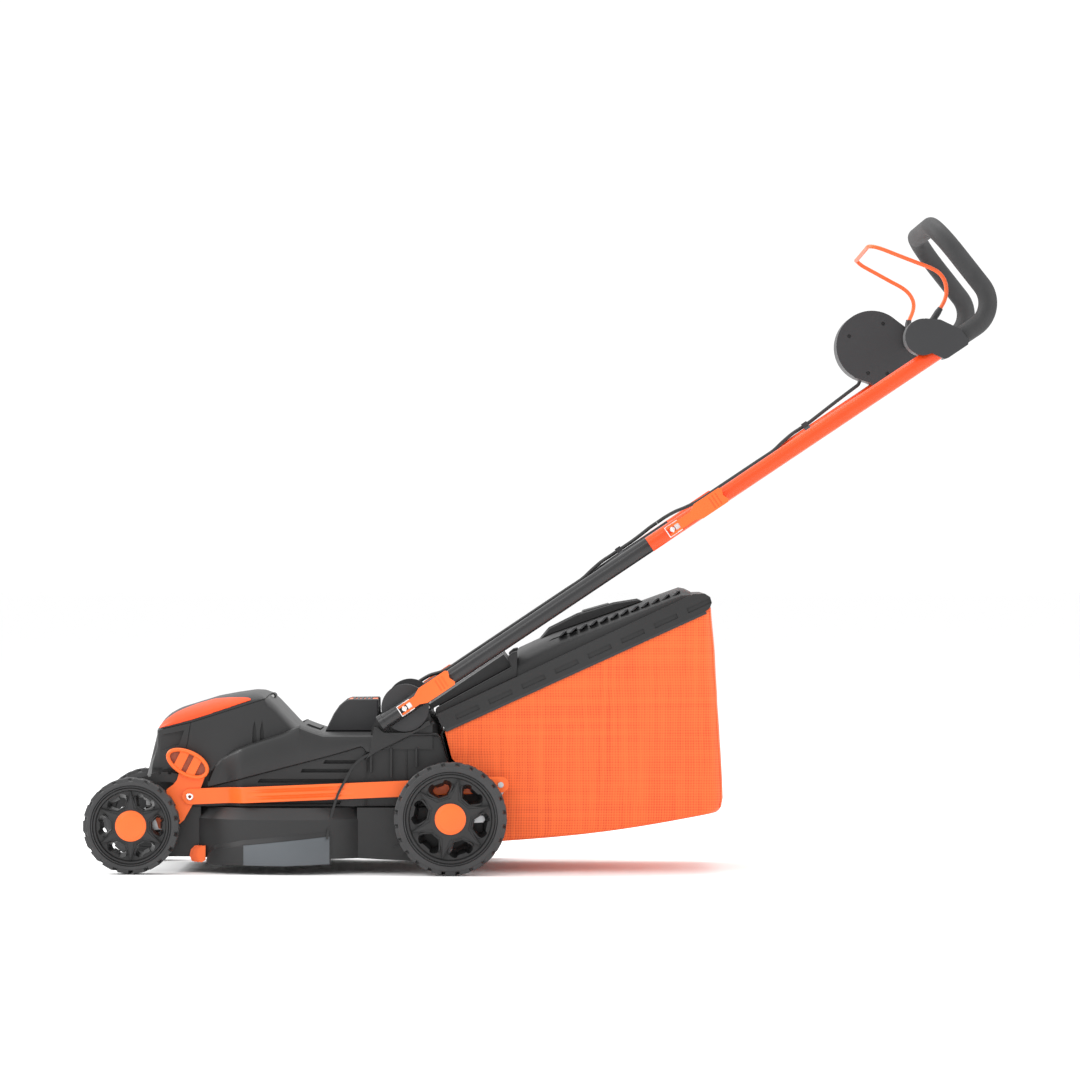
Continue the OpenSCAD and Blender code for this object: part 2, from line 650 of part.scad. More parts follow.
// one bent wire: down the rear, along the bottom, across the front and back on the other side
module bag_frame() color(steel) {
    y = bag_half - cloth - 4;
    left = [for (i = [len(frame_path) - 1:-1:0]) [frame_path[i][0], -y, frame_path[i][1]]];
    right = [for (p = frame_path) [p[0], y, p[1]]];
    wire(concat(left, [[-58, -y + 8, 60]], [[-58, y - 8, 60]], right), 3, 8);
}

// ---- handle ----

module lower_tubes() color(charcoal) on_handle(lower_pivot) both_sides() translate([0, lower_y, 0]) difference() {
    union() {
        translate([-tail, 0, 0]) rotate([0, 90, 0]) cylinder(h = tail + lower_len + stub, r = tube_r);
        translate([-tail - 4, 0, 0]) rotate([0, 90, 0]) cylinder(h = 8, r = tube_r + 1.4);
    }
    translate([-tail + 10, 0, 0]) rotate([0, 90, 0])
        cylinder(h = tail + lower_len + stub, r = tube_r - tube_wall);
    for (x = [0, lower_len]) translate([x, 20, 0]) rotate([90, 0, 0]) cylinder(h = 40, r = bolt_r + fit);
}

module pivot_discs() color(black) difference() {
    both_sides() cross_bar(lower_pivot, 142, 157, disc_r);
    on_handle(lower_pivot) both_sides() translate([-90, lower_y, 0]) rotate([0, 90, 0])
        cylinder(h = 180, r = tube_r);
    on_handle(lower_pivot) both_sides() translate([-tail - 10, lower_y, 0]) rotate([0, 90, 0])
        cylinder(h = 16, r = tube_r + 1.4);
    both_sides() difference() {
        cross_bar(lower_pivot, 153, 158, disc_r + 1);
        on_handle(lower_pivot) translate([-90, 150, -15]) cube([180, 20, 30]);
    }
    cross_bar(lower_pivot, -160, 160, bolt_r + fit);
}

// bolts with a cross pin in the outer end for the cam levers
module cam_bolt(y0, y1) {
    translate([0, y1, 0]) rotate([90, 0, 0]) cylinder(h = y1 - y0, r = bolt_r);
    translate([0, y0 + 4, 0]) rotate([90, 0, 0]) cylinder(h = 4, r = 5.5);
    translate([0, y1, -6.4]) cylinder(h = 12.8, r = 2);
}

module pivot_bolts() color(zinc) on_handle(lower_pivot) both_sides() cam_bolt(130, lower_cam_y);

module joint_bolts() color(zinc) on_handle(mid_joint) both_sides() cam_bolt(148, upper_cam_y);

// middle line of the upper handle's bent bar in the handle's frame, from x0 along the right tube,
// round the corner, up the grip leg and across to the middle plane
leg_dir = [cos(corner_turn), 0, sin(corner_turn)];
leg_end = [upper_len, 0, 0] + (grip_leg - top_bend_r) * leg_dir;
function half_handle(x0) = concat(
    [[x0, upper_y, 0]],
    [for (a = [0:corner_turn / 8:corner_turn + 0.01])
        [upper_len - corner_t + corner_r * sin(a), upper_y, corner_r - corner_r * cos(a)]],
    [for (a = [0:11.25:90])
        leg_end + [0, upper_y - top_bend_r, 0] + top_bend_r * (sin(a) * leg_dir + [0, cos(a), 0])]);
function mirrored(p) = [for (i = [len(p) - 1:-1:0]) [p[i][0], -p[i][1], p[i][2]]];
function handle_line(x0) = concat(half_handle(x0), mirrored(half_handle(x0)));

module upper_tube() color(tube_orange) on_handle(mid_joint) difference() {
    pipe(handle_line(-upper_tail), tube_r, tube_r - tube_wall);
    both_sides() translate([0, upper_y + 20, 0]) rotate([90, 0, 0]) cylinder(h = 40, r = bolt_r);
}

module handle_grip() color(black) on_handle(mid_joint)
    pipe(handle_line(grip_start), grip_d / 2, tube_r + 0.05);

// outline of the switch housing in the handle's frame
module switch_outline() {
    translate([450, 63.5]) circle(58.5);
    polygon([[398, 36], [412, 18], [421, 2], [425, -16], [528, -16], [528, 18], [506, 80]]);
}

module switch_box() color(black) on_handle(mid_joint) difference() {
    union() {
        translate([0, 212, 0]) rotate([90, 0, 0]) linear_extrude(34) switch_outline();
        translate([0, 177.8, 0]) rotate([90, 0, 0]) linear_extrude(35.8) switch_outline();
    }
    // hollow for the switch and its wiring
    translate([450, 206, 63.5]) rotate([90, 0, 0]) cylinder(h = 58, r = 50);
    translate([380, upper_y, 0]) rotate([0, 90, 0]) cylinder(h = 170, r = tube_r);
    translate([450, 220, 63.5]) rotate([90, 0, 0]) cylinder(h = 20, r = 9.4);
    // screw wells in the left face
    for (p = [[428, 98], [486, 84], [420, 30], [446, 12]])
        translate([p[0], 146, p[1]]) rotate([90, 0, 0]) cylinder(h = 8, r = 3.2);
    // pivot of the bail
    translate([497, 160, 32]) rotate([90, 0, 0]) cylinder(h = 20, r = 3 + fit);
}

module safety_button() color(orange) on_handle(mid_joint) {
    translate([450, 217, 63.5]) rotate([90, 0, 0]) cylinder(h = 17, r = 9);
    translate([450, 204, 63.5]) rotate([90, 0, 0]) cylinder(h = 4, r = 13);
}

module bail_bracket() color(black) on_handle(mid_joint) difference() {
    translate([0, -166, 0]) rotate([90, 0, 0]) linear_extrude(48) {
        translate([496.7, 32.2]) circle(28.8);
        polygon([[468, 36], [490, 10], [505, -15], [511, -17], [548, -17], [553, -12], [552, 10], [534, 40],
            [515, 55]]);
    }
    translate([400, -upper_y, 0]) rotate([0, 90, 0]) cylinder(h = 200, r = tube_r);
    translate([grip_start - 0.5, -upper_y, 0]) rotate([0, 90, 0]) cylinder(h = 40, r = grip_d / 2 + gap);
    translate([497, -150, 32]) rotate([90, 0, 0]) cylinder(h = 26, r = 3 + fit);
}

module bail() color(tube_orange) {
    wire(bail_path, bail_d / 2, 12);
    bail_hub = mid_joint + [497 * cos(handle_angle) - 32 * sin(handle_angle),
        497 * sin(handle_angle) + 32 * cos(handle_angle)];
    // hubs and sleeves at both ends of the wire
    for (side = [[-163, -153, bail_path[0]], [129, 139, bail_path[len(bail_path) - 1]]])
        link(bail_hub, [side[2][0], side[2][2]], 5.2, side[0], side[1]);
    cross_bar(bail_hub, -174, -160, 3);
    cross_bar(bail_hub, 136, 150, 3);
}

module cable_upper() color(black) on_handle(mid_joint) wire(cable_upper_path, cable_d / 2, 8);
module cable_lower() color(black) on_handle(lower_pivot) wire(cable_lower_path, cable_d / 2, 8);

module cable_clip(y, at) difference() {
    union() {
        translate([at - 5, y, 0]) rotate([0, 90, 0]) cylinder(h = 10, r = tube_r + 2.4);
        translate([at - 5, y - 6.5, 0]) cube([10, 13, tube_r + 8.4]);
    }
    translate([at - 6, y, 0]) rotate([0, 90, 0]) cylinder(h = 12, r = tube_r);
    translate([at - 6, y, tube_r + cable_d / 2 + 0.4]) rotate([0, 90, 0]) cylinder(h = 12, r = cable_d / 2 + 0.5);
}

module cable_clip_upper() color(black) on_handle(mid_joint) cable_clip(upper_y, 289);
module cable_clip_lower() color(black) on_handle(lower_pivot) cable_clip(lower_y, 425);

// cam lever: paddle starts at neck and ends at tip, both measured along the tube from the bolt
module cam_lever(neck, tip, cam_y) translate([0, -cam_y, 0]) difference() {
    translate([0, 4, 0]) rotate([90, 0, 0]) linear_extrude(8)
        polygon([[-7, -7.5], [neck, -7.5], [neck + 12, -12.5], [tip - 3, -12.5], [tip, -9], [tip - 4, 1],
            [tip, 11], [tip - 4, 14.5], [neck + 12, 14.5], [neck, 8], [-7, 7.5]]);
    // slot for the bolt's end and a bore for its cross pin
    translate([-8, -6, -4.4]) cube([21, 12, 8.8]);
    translate([0, 0, -9]) cylinder(h = 18, r = 2 + fit);
    for (x = [tip - 14, tip - 20, tip - 26]) translate([x, -5, -9]) cube([2.2, 2, 19]);
}

module lower_cam(left) color(orange) on_handle(lower_pivot)
    mirror([0, left ? 0 : 1, 0]) cam_lever(24, 90, lower_cam_y);
module upper_cam(left) color(orange) on_handle(mid_joint)
    mirror([0, left ? 0 : 1, 0]) cam_lever(38, 100, upper_cam_y);

deck_housing();
body_shell();
nose_housing();
rear_chute();
carry_handle();
carry_grip();
handle_brackets();
side_skirts();
grass_combs();
height_gate();
motor();
controller_box();
battery_pack();
isolator_key();
deck_screws();
hinge_rods();
battery_lid();
lid_trim();
blade();
blade_spindle();
blade_bolt();
front_axle();
height_lever();
lever_rivet();
tie_bar();
rear_axle();
front_tyre(true);  // tyre_front_left
front_rim(true);  // rim_front_left
front_hubcap(true);  // hubcap_front_left
front_tyre(false);  // tyre_front_right
front_rim(false);  // rim_front_right
front_hubcap(false);  // hubcap_front_right
rear_tyre(true);  // tyre_rear_left
rear_rim(true);  // rim_rear_left
rear_hubcap(true);  // hubcap_rear_left
rear_tyre(false);  // tyre_rear_right
rear_rim(false);  // rim_rear_right
rear_hubcap(false);  // hubcap_rear_right
rear_flap();
bag_lid();
bag_fabric();
bag_frame();
lower_tubes();
pivot_discs();
pivot_bolts();
upper_tube();
joint_bolts();
handle_grip();
switch_box();
bail_bracket();
cable_upper();
cable_lower();
cable_clip_upper();
cable_clip_lower();
lower_cam(true);  // cam_lever_lower_left
lower_cam(false);  // cam_lever_lower_right
upper_cam(true);  // cam_lever_upper_left
upper_cam(false);  // cam_lever_upper_right
bail();
safety_button();
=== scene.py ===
import json
from math import copysign, cos, pi, radians, sin, sqrt, tan

import bmesh
import bpy
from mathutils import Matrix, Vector, noise


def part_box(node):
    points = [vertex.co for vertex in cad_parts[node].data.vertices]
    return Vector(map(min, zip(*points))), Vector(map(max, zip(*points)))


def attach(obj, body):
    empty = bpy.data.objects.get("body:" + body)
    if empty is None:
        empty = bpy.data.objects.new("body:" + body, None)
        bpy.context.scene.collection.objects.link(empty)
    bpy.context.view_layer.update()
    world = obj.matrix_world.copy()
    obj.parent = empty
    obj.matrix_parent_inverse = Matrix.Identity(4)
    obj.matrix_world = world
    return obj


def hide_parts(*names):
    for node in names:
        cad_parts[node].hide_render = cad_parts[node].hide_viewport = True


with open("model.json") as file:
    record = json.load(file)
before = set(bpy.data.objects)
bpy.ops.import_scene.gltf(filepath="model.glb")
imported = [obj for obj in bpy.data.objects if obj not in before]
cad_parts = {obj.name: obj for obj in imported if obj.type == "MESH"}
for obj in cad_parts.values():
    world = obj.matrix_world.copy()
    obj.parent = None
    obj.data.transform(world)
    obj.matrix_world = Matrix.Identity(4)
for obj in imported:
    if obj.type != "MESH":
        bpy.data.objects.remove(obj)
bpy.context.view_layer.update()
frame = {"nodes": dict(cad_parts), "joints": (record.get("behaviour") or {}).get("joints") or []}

# Lengths below are in millimetres and are turned into metres when a mesh is made. A "part" is a pair of
# points and faces. An outline is a list of (x, z) seen from the left side, and sign or left is -1 or 1 for
# the two sides of the middle plane.
MM = 0.001
JOINTS = {j["name"]: j for j in frame["joints"]}
SIDES = ("front_left", "front_right", "rear_left", "rear_right")


def joint_at(name):
    """Place of a joint, [x, y, z] in millimetres."""
    return Vector(JOINTS[name]["pos_m"]) / MM


def node_box(name):
    """Lowest and highest corner of a CAD node in millimetres."""
    low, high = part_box(name)
    return low / MM, high / MM


def new_object(name, data):
    """An object in the scene that holds data."""
    made = bpy.data.objects.new(name, data)
    bpy.context.scene.collection.objects.link(made)
    return made


# ---- camera, light and floor ----

def make_camera():
    """A long lens square to the left side, level with the middle of the part."""
    camera = bpy.data.cameras.new("camera")
    camera.lens = 156.6
    camera.sensor_width = 36
    camera.clip_end = 100
    eye = new_object("camera", camera)
    eye.location = (0, -7.603, 0.5283)
    eye.rotation_euler = (radians(90), 0, 0)
    bpy.context.scene.camera = eye


def area_light(name, place, aim, size, power):
    """A soft rectangular light at place that faces aim, in metres and watts."""
    light = bpy.data.lights.new(name, "AREA")
    light.shape = "RECTANGLE"
    light.size, light.size_y = size
    light.energy = power
    lamp = new_object(name, light)
    lamp.location = place
    lamp.rotation_euler = (Vector(aim) - Vector(place)).to_track_quat("-Z", "Y").to_euler()


def make_studio():
    """White surroundings, five soft lights and a pale floor."""
    world = bpy.data.worlds.new("studio")
    world.use_nodes = True
    sky = world.node_tree.nodes["Background"].inputs
    sky["Color"].default_value = (1, 1, 1, 1)
    sky["Strength"].default_value = 1.06
    bpy.context.scene.world = world
    bpy.context.scene.view_settings.view_transform = "Standard"
    area_light("left", (-4.2, 0.4, 2.9), (0, 0, 0.4), (2.2, 2.2), 170)
    area_light("key", (-3.0, -3.6, 3.6), (0, 0, 0.4), (2.2, 2.0), 36)
    area_light("top", (0.2, 0.6, 4.4), (0, 0, 0.3), (3.2, 2.4), 95)
    area_light("rear", (3.4, -1.4, 1.5), (0.25, 0, 0.25), (1.4, 1.4), 26)
    area_light("fill", (2.6, -5.0, 1.6), (0, 0, 0.4), (2.6, 2.0), 8)
    floor = bpy.data.meshes.new("floor")
    reach = 40
    corners = [(-reach, -reach, 0), (reach, -reach, 0), (reach, reach, 0), (-reach, reach, 0)]
    floor.from_pydata(corners, [], [(0, 1, 2, 3)])
    ground = new_object("floor", floor)
    paint = bpy.data.materials.new("pale_floor")
    paint.use_nodes = True
    shader = paint.node_tree.nodes["Principled BSDF"]
    shader.inputs["Base Color"].default_value = (0.94, 0.94, 0.94, 1)
    shader.inputs["Roughness"].default_value = 0.9
    ground.data.materials.append(paint)
    ground.location.z = -0.0006


# ---- materials ----

class Paint:
    """A procedural material: short names for the nodes that build it."""

    def __init__(self, name, roughness, **fixed):
        self.material = bpy.data.materials.new(name)
        self.material.use_nodes = True
        self.tree = self.material.node_tree
        self.shader = self.tree.nodes["Principled BSDF"]
        self.shader.inputs["Roughness"].default_value = roughness
        for socket, value in fixed.items():
            self.shader.inputs[socket.replace("_", " ")].default_value = value
        self.place = self.tree.nodes.new("ShaderNodeTexCoord").outputs["Object"]

    def link(self, out, into):
        self.tree.links.new(out, into)

    def maths(self, operation, a, b=None, clamp=False):
        node = self.tree.nodes.new("ShaderNodeMath")
        node.operation = operation
        node.use_clamp = clamp
        for socket, value in zip(node.inputs, (a, b)):
            if value is None:
                continue
            if isinstance(value, (int, float)):
                socket.default_value = value
            else:
                self.link(value, socket)
        return node.outputs[0]

    def noise(self, scale, detail=3.0, stretch=None):
        node = self.tree.nodes.new("ShaderNodeTexNoise")
        node.inputs["Scale"].default_value = scale
        node.inputs["Detail"].default_value = detail
        place = self.place
        if stretch:
            mapping = self.tree.nodes.new("ShaderNodeMapping")
            mapping.inputs["Scale"].default_value = stretch
            self.link(place, mapping.inputs["Vector"])
            place = mapping.outputs[0]
        self.link(place, node.inputs["Vector"])
        return node.outputs["Fac"]

    def ramp(self, factor, stops):
        node = self.tree.nodes.new("ShaderNodeValToRGB")
        elements = node.color_ramp.elements
        elements[0].position, elements[0].color = stops[0][0], (*stops[0][1], 1)
        elements[1].position, elements[1].color = stops[-1][0], (*stops[-1][1], 1)
        for at, colour in stops[1:-1]:
            elements.new(at).color = (*colour, 1)
        self.link(factor, node.inputs[0])
        return node.outputs[0]

    def spread(self, factor, low, high):
        node = self.tree.nodes.new("ShaderNodeMapRange")
        node.inputs["To Min"].default_value = low
        node.inputs["To Max"].default_value = high
        self.link(factor, node.inputs["Value"])
        return node.outputs[0]

    def colour(self, out):
        self.link(out, self.shader.inputs["Base Color"])

    def rough(self, out):
        self.link(out, self.shader.inputs["Roughness"])

    def bump(self, height, strength, distance):
        node = self.tree.nodes.new("ShaderNodeBump")
        node.inputs["Strength"].default_value = strength
        node.inputs["Distance"].default_value = distance
        self.link(height, node.inputs["Height"])
        self.link(node.outputs[0], self.shader.inputs["Normal"])

    def split(self):
        node = self.tree.nodes.new("ShaderNodeSeparateXYZ")
        self.link(self.place, node.inputs[0])
        return node.outputs


def tint(colour, share):
    """The colour made lighter or darker by share."""
    return tuple(min(1.0, c * share) for c in colour)


def moulded(name, colour, roughness, grain=0.00006, **fixed):
    """Moulded plastic: fine spark-eroded grain, slow colour drift and slightly uneven gloss."""
    p = Paint(name, roughness, **fixed)
    p.colour(p.ramp(p.noise(9, 4), [(0.3, tint(colour, 0.9)), (0.7, tint(colour, 1.1))]))
    p.rough(p.spread(p.noise(70, 5), roughness - 0.05, roughness + 0.07))
    p.bump(p.noise(1900, 2), 0.35, grain)
    return p.material


def painted(name, colour, roughness, **fixed):
    """Powder-coated tube: faint orange peel and small differences in gloss."""
    p = Paint(name, roughness, **fixed)
    p.colour(p.ramp(p.noise(14, 3), [(0.3, tint(colour, 0.93)), (0.7, tint(colour, 1.05))]))
    p.rough(p.spread(p.noise(90, 4), roughness - 0.04, roughness + 0.05))
    p.bump(p.noise(300, 2), 0.08, 0.00006)
    return p.material


def metal(name, colour, roughness, stretch):
    """Plated or rolled metal with fine lines along one way and a few duller patches."""
    p = Paint(name, roughness, Metallic=1.0)
    p.colour(p.ramp(p.noise(30, 5), [(0.25, tint(colour, 0.82)), (0.65, colour)]))
    lines = p.noise(260, 3, stretch)
    p.rough(p.spread(lines, roughness - 0.06, roughness + 0.12))
    p.bump(lines, 0.15, 0.00005)
    return p.material


def rubber(name, colour, roughness, scale, depth):
    """Rubber or foam: matt, with pores and dusty high spots."""
    p = Paint(name, roughness)
    p.colour(p.ramp(p.noise(22, 6), [(0.35, tint(colour, 0.85)), (0.75, tint(colour, 1.3))]))
    p.rough(p.spread(p.noise(60, 4), roughness - 0.06, roughness + 0.06))
    p.bump(p.noise(scale, 4), 0.5, depth)
    return p.material


def woven(name, colour, deep, pitch):
    """Coarse woven polyester: darker gaps every pitch both ways, and slightly uneven threads."""
    p = Paint(name, 0.72, Sheen_Weight=0.2, Sheen_Roughness=0.5)
    x, y, z = p.split()
    turn = 2 * pi / pitch
    warp = p.maths("SINE", p.maths("MULTIPLY", p.maths("ADD", x, y), turn))
    weft = p.maths("SINE", p.maths("MULTIPLY", z, turn))
    threads = p.maths("ADD", p.maths("MULTIPLY", warp, 0.25), p.maths("MULTIPLY", weft, 0.25))
    upright = p.noise(60, 3, (2.2, 2.2, 0.06))
    level = p.noise(60, 3, (0.05, 0.05, 2.2))
    uneven = p.maths("ADD", p.maths("MULTIPLY", upright, 0.6), p.maths("MULTIPLY", level, 0.4))
    shade = p.maths("ADD", p.maths("MULTIPLY", threads, 0.55), uneven, True)
    p.colour(p.ramp(shade, [(0.2, deep), (0.5, colour), (0.8, tint(colour, 1.15))]))
    fine = p.noise(900, 2)
    p.bump(p.maths("ADD", threads, p.maths("MULTIPLY", fine, 0.3)), 0.5, 0.0005)
    return p.material


# every look: how it is made, and the maker's values in order
LOOK_TABLE = {
    "charcoal_plastic": (moulded, (0.020, 0.020, 0.0205), 0.44, 0.00006, {"Specular_IOR_Level": 0.36}),
    "black_plastic": (moulded, (0.022, 0.022, 0.024), 0.45),
    "orange_plastic": (moulded, (0.9, 0.14, 0.02), 0.38, 0.00003, {"Specular_IOR_Level": 0.4}),
    "flank_orange": (moulded, (0.78, 0.06, 0.006), 0.42, 0.00003, {"Specular_IOR_Level": 0.3}),
    # darker orange painted on the lever's recess floor: painted shade of the recess
    "deep_orange": (moulded, (0.33, 0.075, 0.03), 0.5, 0.00003),
    "orange_paint": (painted, (0.88, 0.068, 0.008), 0.26, {"Specular_IOR_Level": 0.4}),
    "bail_paint": (painted, (0.9, 0.12, 0.02), 0.36),
    "black_paint": (painted, (0.017, 0.017, 0.018), 0.26),
    "grey_label": (moulded, (0.085, 0.095, 0.105), 0.5, 0.00003),
    "zinc": (metal, (0.86, 0.86, 0.85), 0.28, (1, 1, 1)),
    "steel": (metal, (0.56, 0.57, 0.58), 0.34, (0.04, 1, 1)),
    "tyre": (rubber, (0.03, 0.03, 0.031), 0.6, 900, 0.0002),
    "foam": (rubber, (0.026, 0.026, 0.027), 0.66, 1500, 0.0003),
    "cable": (rubber, (0.018, 0.018, 0.018), 0.45, 700, 0.0001),
    "bag_cloth": (woven, (0.8, 0.125, 0.02), (0.64, 0.058, 0.008), 0.0042),
}


def make_materials():
    made = {}
    for name, (maker, *values) in LOOK_TABLE.items():
        fixed = values.pop() if isinstance(values[-1], dict) else {}
        made[name] = maker(name, *values, **fixed)
    return made


# ---- mesh helpers ----

def sharpen(mesh, angle):
    """Smooth shading with edges sharper than angle kept crisp, and all faces turned outwards."""
    work = bmesh.new()
    work.from_mesh(mesh)
    bmesh.ops.remove_doubles(work, verts=work.verts, dist=1e-6)
    bmesh.ops.recalc_face_normals(work, faces=work.faces)
    for face in work.faces:
        face.smooth = True
    for edge in work.edges:
        edge.smooth = edge.calc_face_angle(0.0) < radians(angle)
    work.to_mesh(mesh)
    work.free()


def new_mesh(name, part, angle):
    """A mesh from points in millimetres and faces, shaded as sharpen does."""
    points, faces = part
    mesh = bpy.data.meshes.new(name)
    mesh.from_pydata([Vector(p) * MM for p in points], [], faces)
    sharpen(mesh, angle)
    return mesh


def build(name, part, body, look="charcoal_plastic", angle=35):
    """A new object from a part's points and faces; it rides on body and wears look as its material."""
    mesh = new_mesh(name, part, angle)
    made = new_object(name, mesh)
    mesh.materials.append(LOOKS[look])
    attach(made, body)
    return made


def rounded(made, width, segments=3, angle=35):
    """Rounds the edges of a piece or a CAD node, width in millimetres."""
    modifier = made.modifiers.new("rounding", "BEVEL")
    modifier.width = width * MM
    modifier.segments = segments
    modifier.limit_method = "ANGLE"
    modifier.angle_limit = radians(angle)
    modifier.use_clamp_overlap = True
    modifier.harden_normals = True
    return made


def prism(outline, y0, y1):
    """Points and faces of a side outline [(x, z)] made solid from y0 to y1."""
    n = len(outline)
    points = [(x, y0, z) for x, z in outline] + [(x, y1, z) for x, z in outline]
    faces = [tuple(range(n)), tuple(range(2 * n - 1, n - 1, -1))]
    faces += [(i, (i + 1) % n, (i + 1) % n + n, i + n) for i in range(n)]
    return points, faces


def merged(parts):
    """Several (points, faces) lists as one."""
    points, faces = [], []
    for more_points, more_faces in parts:
        base = len(points)
        points += list(more_points)
        faces += [tuple(i + base for i in f) for f in more_faces]
    return points, faces


def mirrored(part):
    """The same points and faces on the other side of the middle plane."""
    points, faces = part
    return [(x, -y, z) for x, y, z in points], [tuple(reversed(f)) for f in faces]


def both(part):
    """A part with its mirror image."""
    return merged([part, mirrored(part)])


def skin(rings, closed=True, caps=True):
    """Faces between rings of equal length; closed rings are tubes, open ones are sheets."""
    n = len(rings[0])
    points = [p for ring in rings for p in ring]
    last = n if closed else n - 1
    faces = []
    for i in range(len(rings) - 1):
        for k in range(last):
            a, b = i * n + k, i * n + (k + 1) % n
            faces.append((a, b, b + n, a + n))
    if caps:
        faces.append(tuple(range(n - 1, -1, -1)))
        faces.append(tuple(range((len(rings) - 1) * n, len(rings) * n)))
    return points, faces


def smooth_path(points, step=6.0):
    """Catmull-Rom curve through the points, with a point about every step millimetres."""
    p = []
    for a, b in zip(points, points[1:]):
        parts = max(1, round((Vector(b) - Vector(a)).length / 30))
        p += [Vector(a).lerp(Vector(b), k / parts) for k in range(parts)]
    p.append(Vector(points[-1]))
    p = [2 * p[0] - p[1]] + p + [2 * p[-1] - p[-2]]
    out = []
    for i in range(1, len(p) - 2):
        count = max(2, int((p[i + 1] - p[i]).length / step))
        for k in range(count):
            t = k / count
            a = 2 * p[i]
            b = (p[i + 1] - p[i - 1]) * t
            c = (2 * p[i - 1] - 5 * p[i] + 4 * p[i + 1] - p[i + 2]) * t * t
            d = (3 * p[i] - p[i - 1] - 3 * p[i + 1] + p[i + 2]) * t ** 3
            out.append((a + b + c + d) * 0.5)
    out.append(p[-2])
    return out


def swept(path, radius, sides=16, caps=True):
    """A round tube along path; radius is a number or a function of the share of the way along."""
    path = [Vector(q) for q in path]
    n = len(path)
    ways = [(path[min(i + 1, n - 1)] - path[max(i - 1, 0)]).normalized() for i in range(n)]
    side = Vector((0.3, 1, 0.2)).cross(ways[0]).normalized()
    rings = []
    for i in range(n):
        side = (side - side.dot(ways[i]) * ways[i]).normalized()
        other = ways[i].cross(side)
        r = radius(i / (n - 1)) if callable(radius) else radius
        rings.append([path[i] + r * (cos(a) * side + sin(a) * other)
                      for a in (2 * pi * k / sides for k in range(sides))])
    return skin(rings, True, caps)


def lathe(profile, centre, segments=96):
    """A turned shape about the line through centre along Y; profile is [(radius, y)]."""
    cx, cy, cz = centre
    rings = []
    for r, y in profile:
        rings.append([(cx + r * cos(a), cy + y, cz + r * sin(a))
                      for a in (2 * pi * k / segments for k in range(segments))])
    return skin(rings, True, False)


def cut(made, cutter_parts):
    """Cuts solid shapes out of a piece and keeps the result as its mesh."""
    cutter = new_object("cutter", new_mesh("cutter", merged(cutter_parts), 30))
    modifier = made.modifiers.new("cut", "BOOLEAN")
    modifier.object = cutter
    modifier.operation = "DIFFERENCE"
    modifier.solver = "EXACT"
    bpy.context.view_layer.update()
    graph = bpy.context.evaluated_depsgraph_get()
    result = bpy.data.meshes.new_from_object(made.evaluated_get(graph))
    made.modifiers.remove(modifier)
    made.data = result
    bpy.data.objects.remove(cutter)
    sharpen(result, 35)
    return made


def flank(sign, near, far):
    """Range of y from near to far on the side that sign stands for, low value first."""
    return sorted((sign * near, sign * far))


def step(t):
    """Smooth rise from 0 at t = 0 to 1 at t = 1."""
    t = max(0.0, min(1.0, t))
    return t * t * (3 - 2 * t)


def along(table, x):
    """Value at x on straight lines between the table's (x, value) pairs."""
    if x <= table[0][0]:
        return table[0][1]
    for (x0, v0), (x1, v1) in zip(table, table[1:]):
        if x <= x1:
            return v0 + (v1 - v0) * (x - x0) / (x1 - x0)
    return table[-1][1]


def softened(table, x, reach=5.0):
    """The same line with its corners rounded over reach millimetres."""
    return sum(along(table, x + reach * k / 3) for k in range(-3, 4)) / 7


def spaced(a, b, count):
    """A number of values from a to b, evenly spaced."""
    return [a + (b - a) * k / (count - 1) for k in range(count)]


# ---- nose and battery lid ----

# crown line of the lid and the nose behind it, side seam of the lid, and front edge, all (x, z)
CROWN = [(-610, 226), (-604, 240), (-594, 250), (-580, 258), (-558, 265), (-521, 276.4), (-490, 282),
         (-461, 286), (-447, 285), (-436, 279), (-424, 268.5), (-389, 231), (-382, 225)]
SEAM = [(-612, 222), (-604, 226.5), (-556, 237.4), (-430, 277.5), (-424, 279)]
NOSE_HALF = [(-634, 92), (-625, 108), (-612, 120), (-590, 128), (-560, 132), (-520, 134), (-382, 134)]
BOTTOM = 104.6
# the lid covers the nose up to here, and the body shell takes over from the nose at the second value
LID_REAR = -437.2
NOSE_END = -381.5


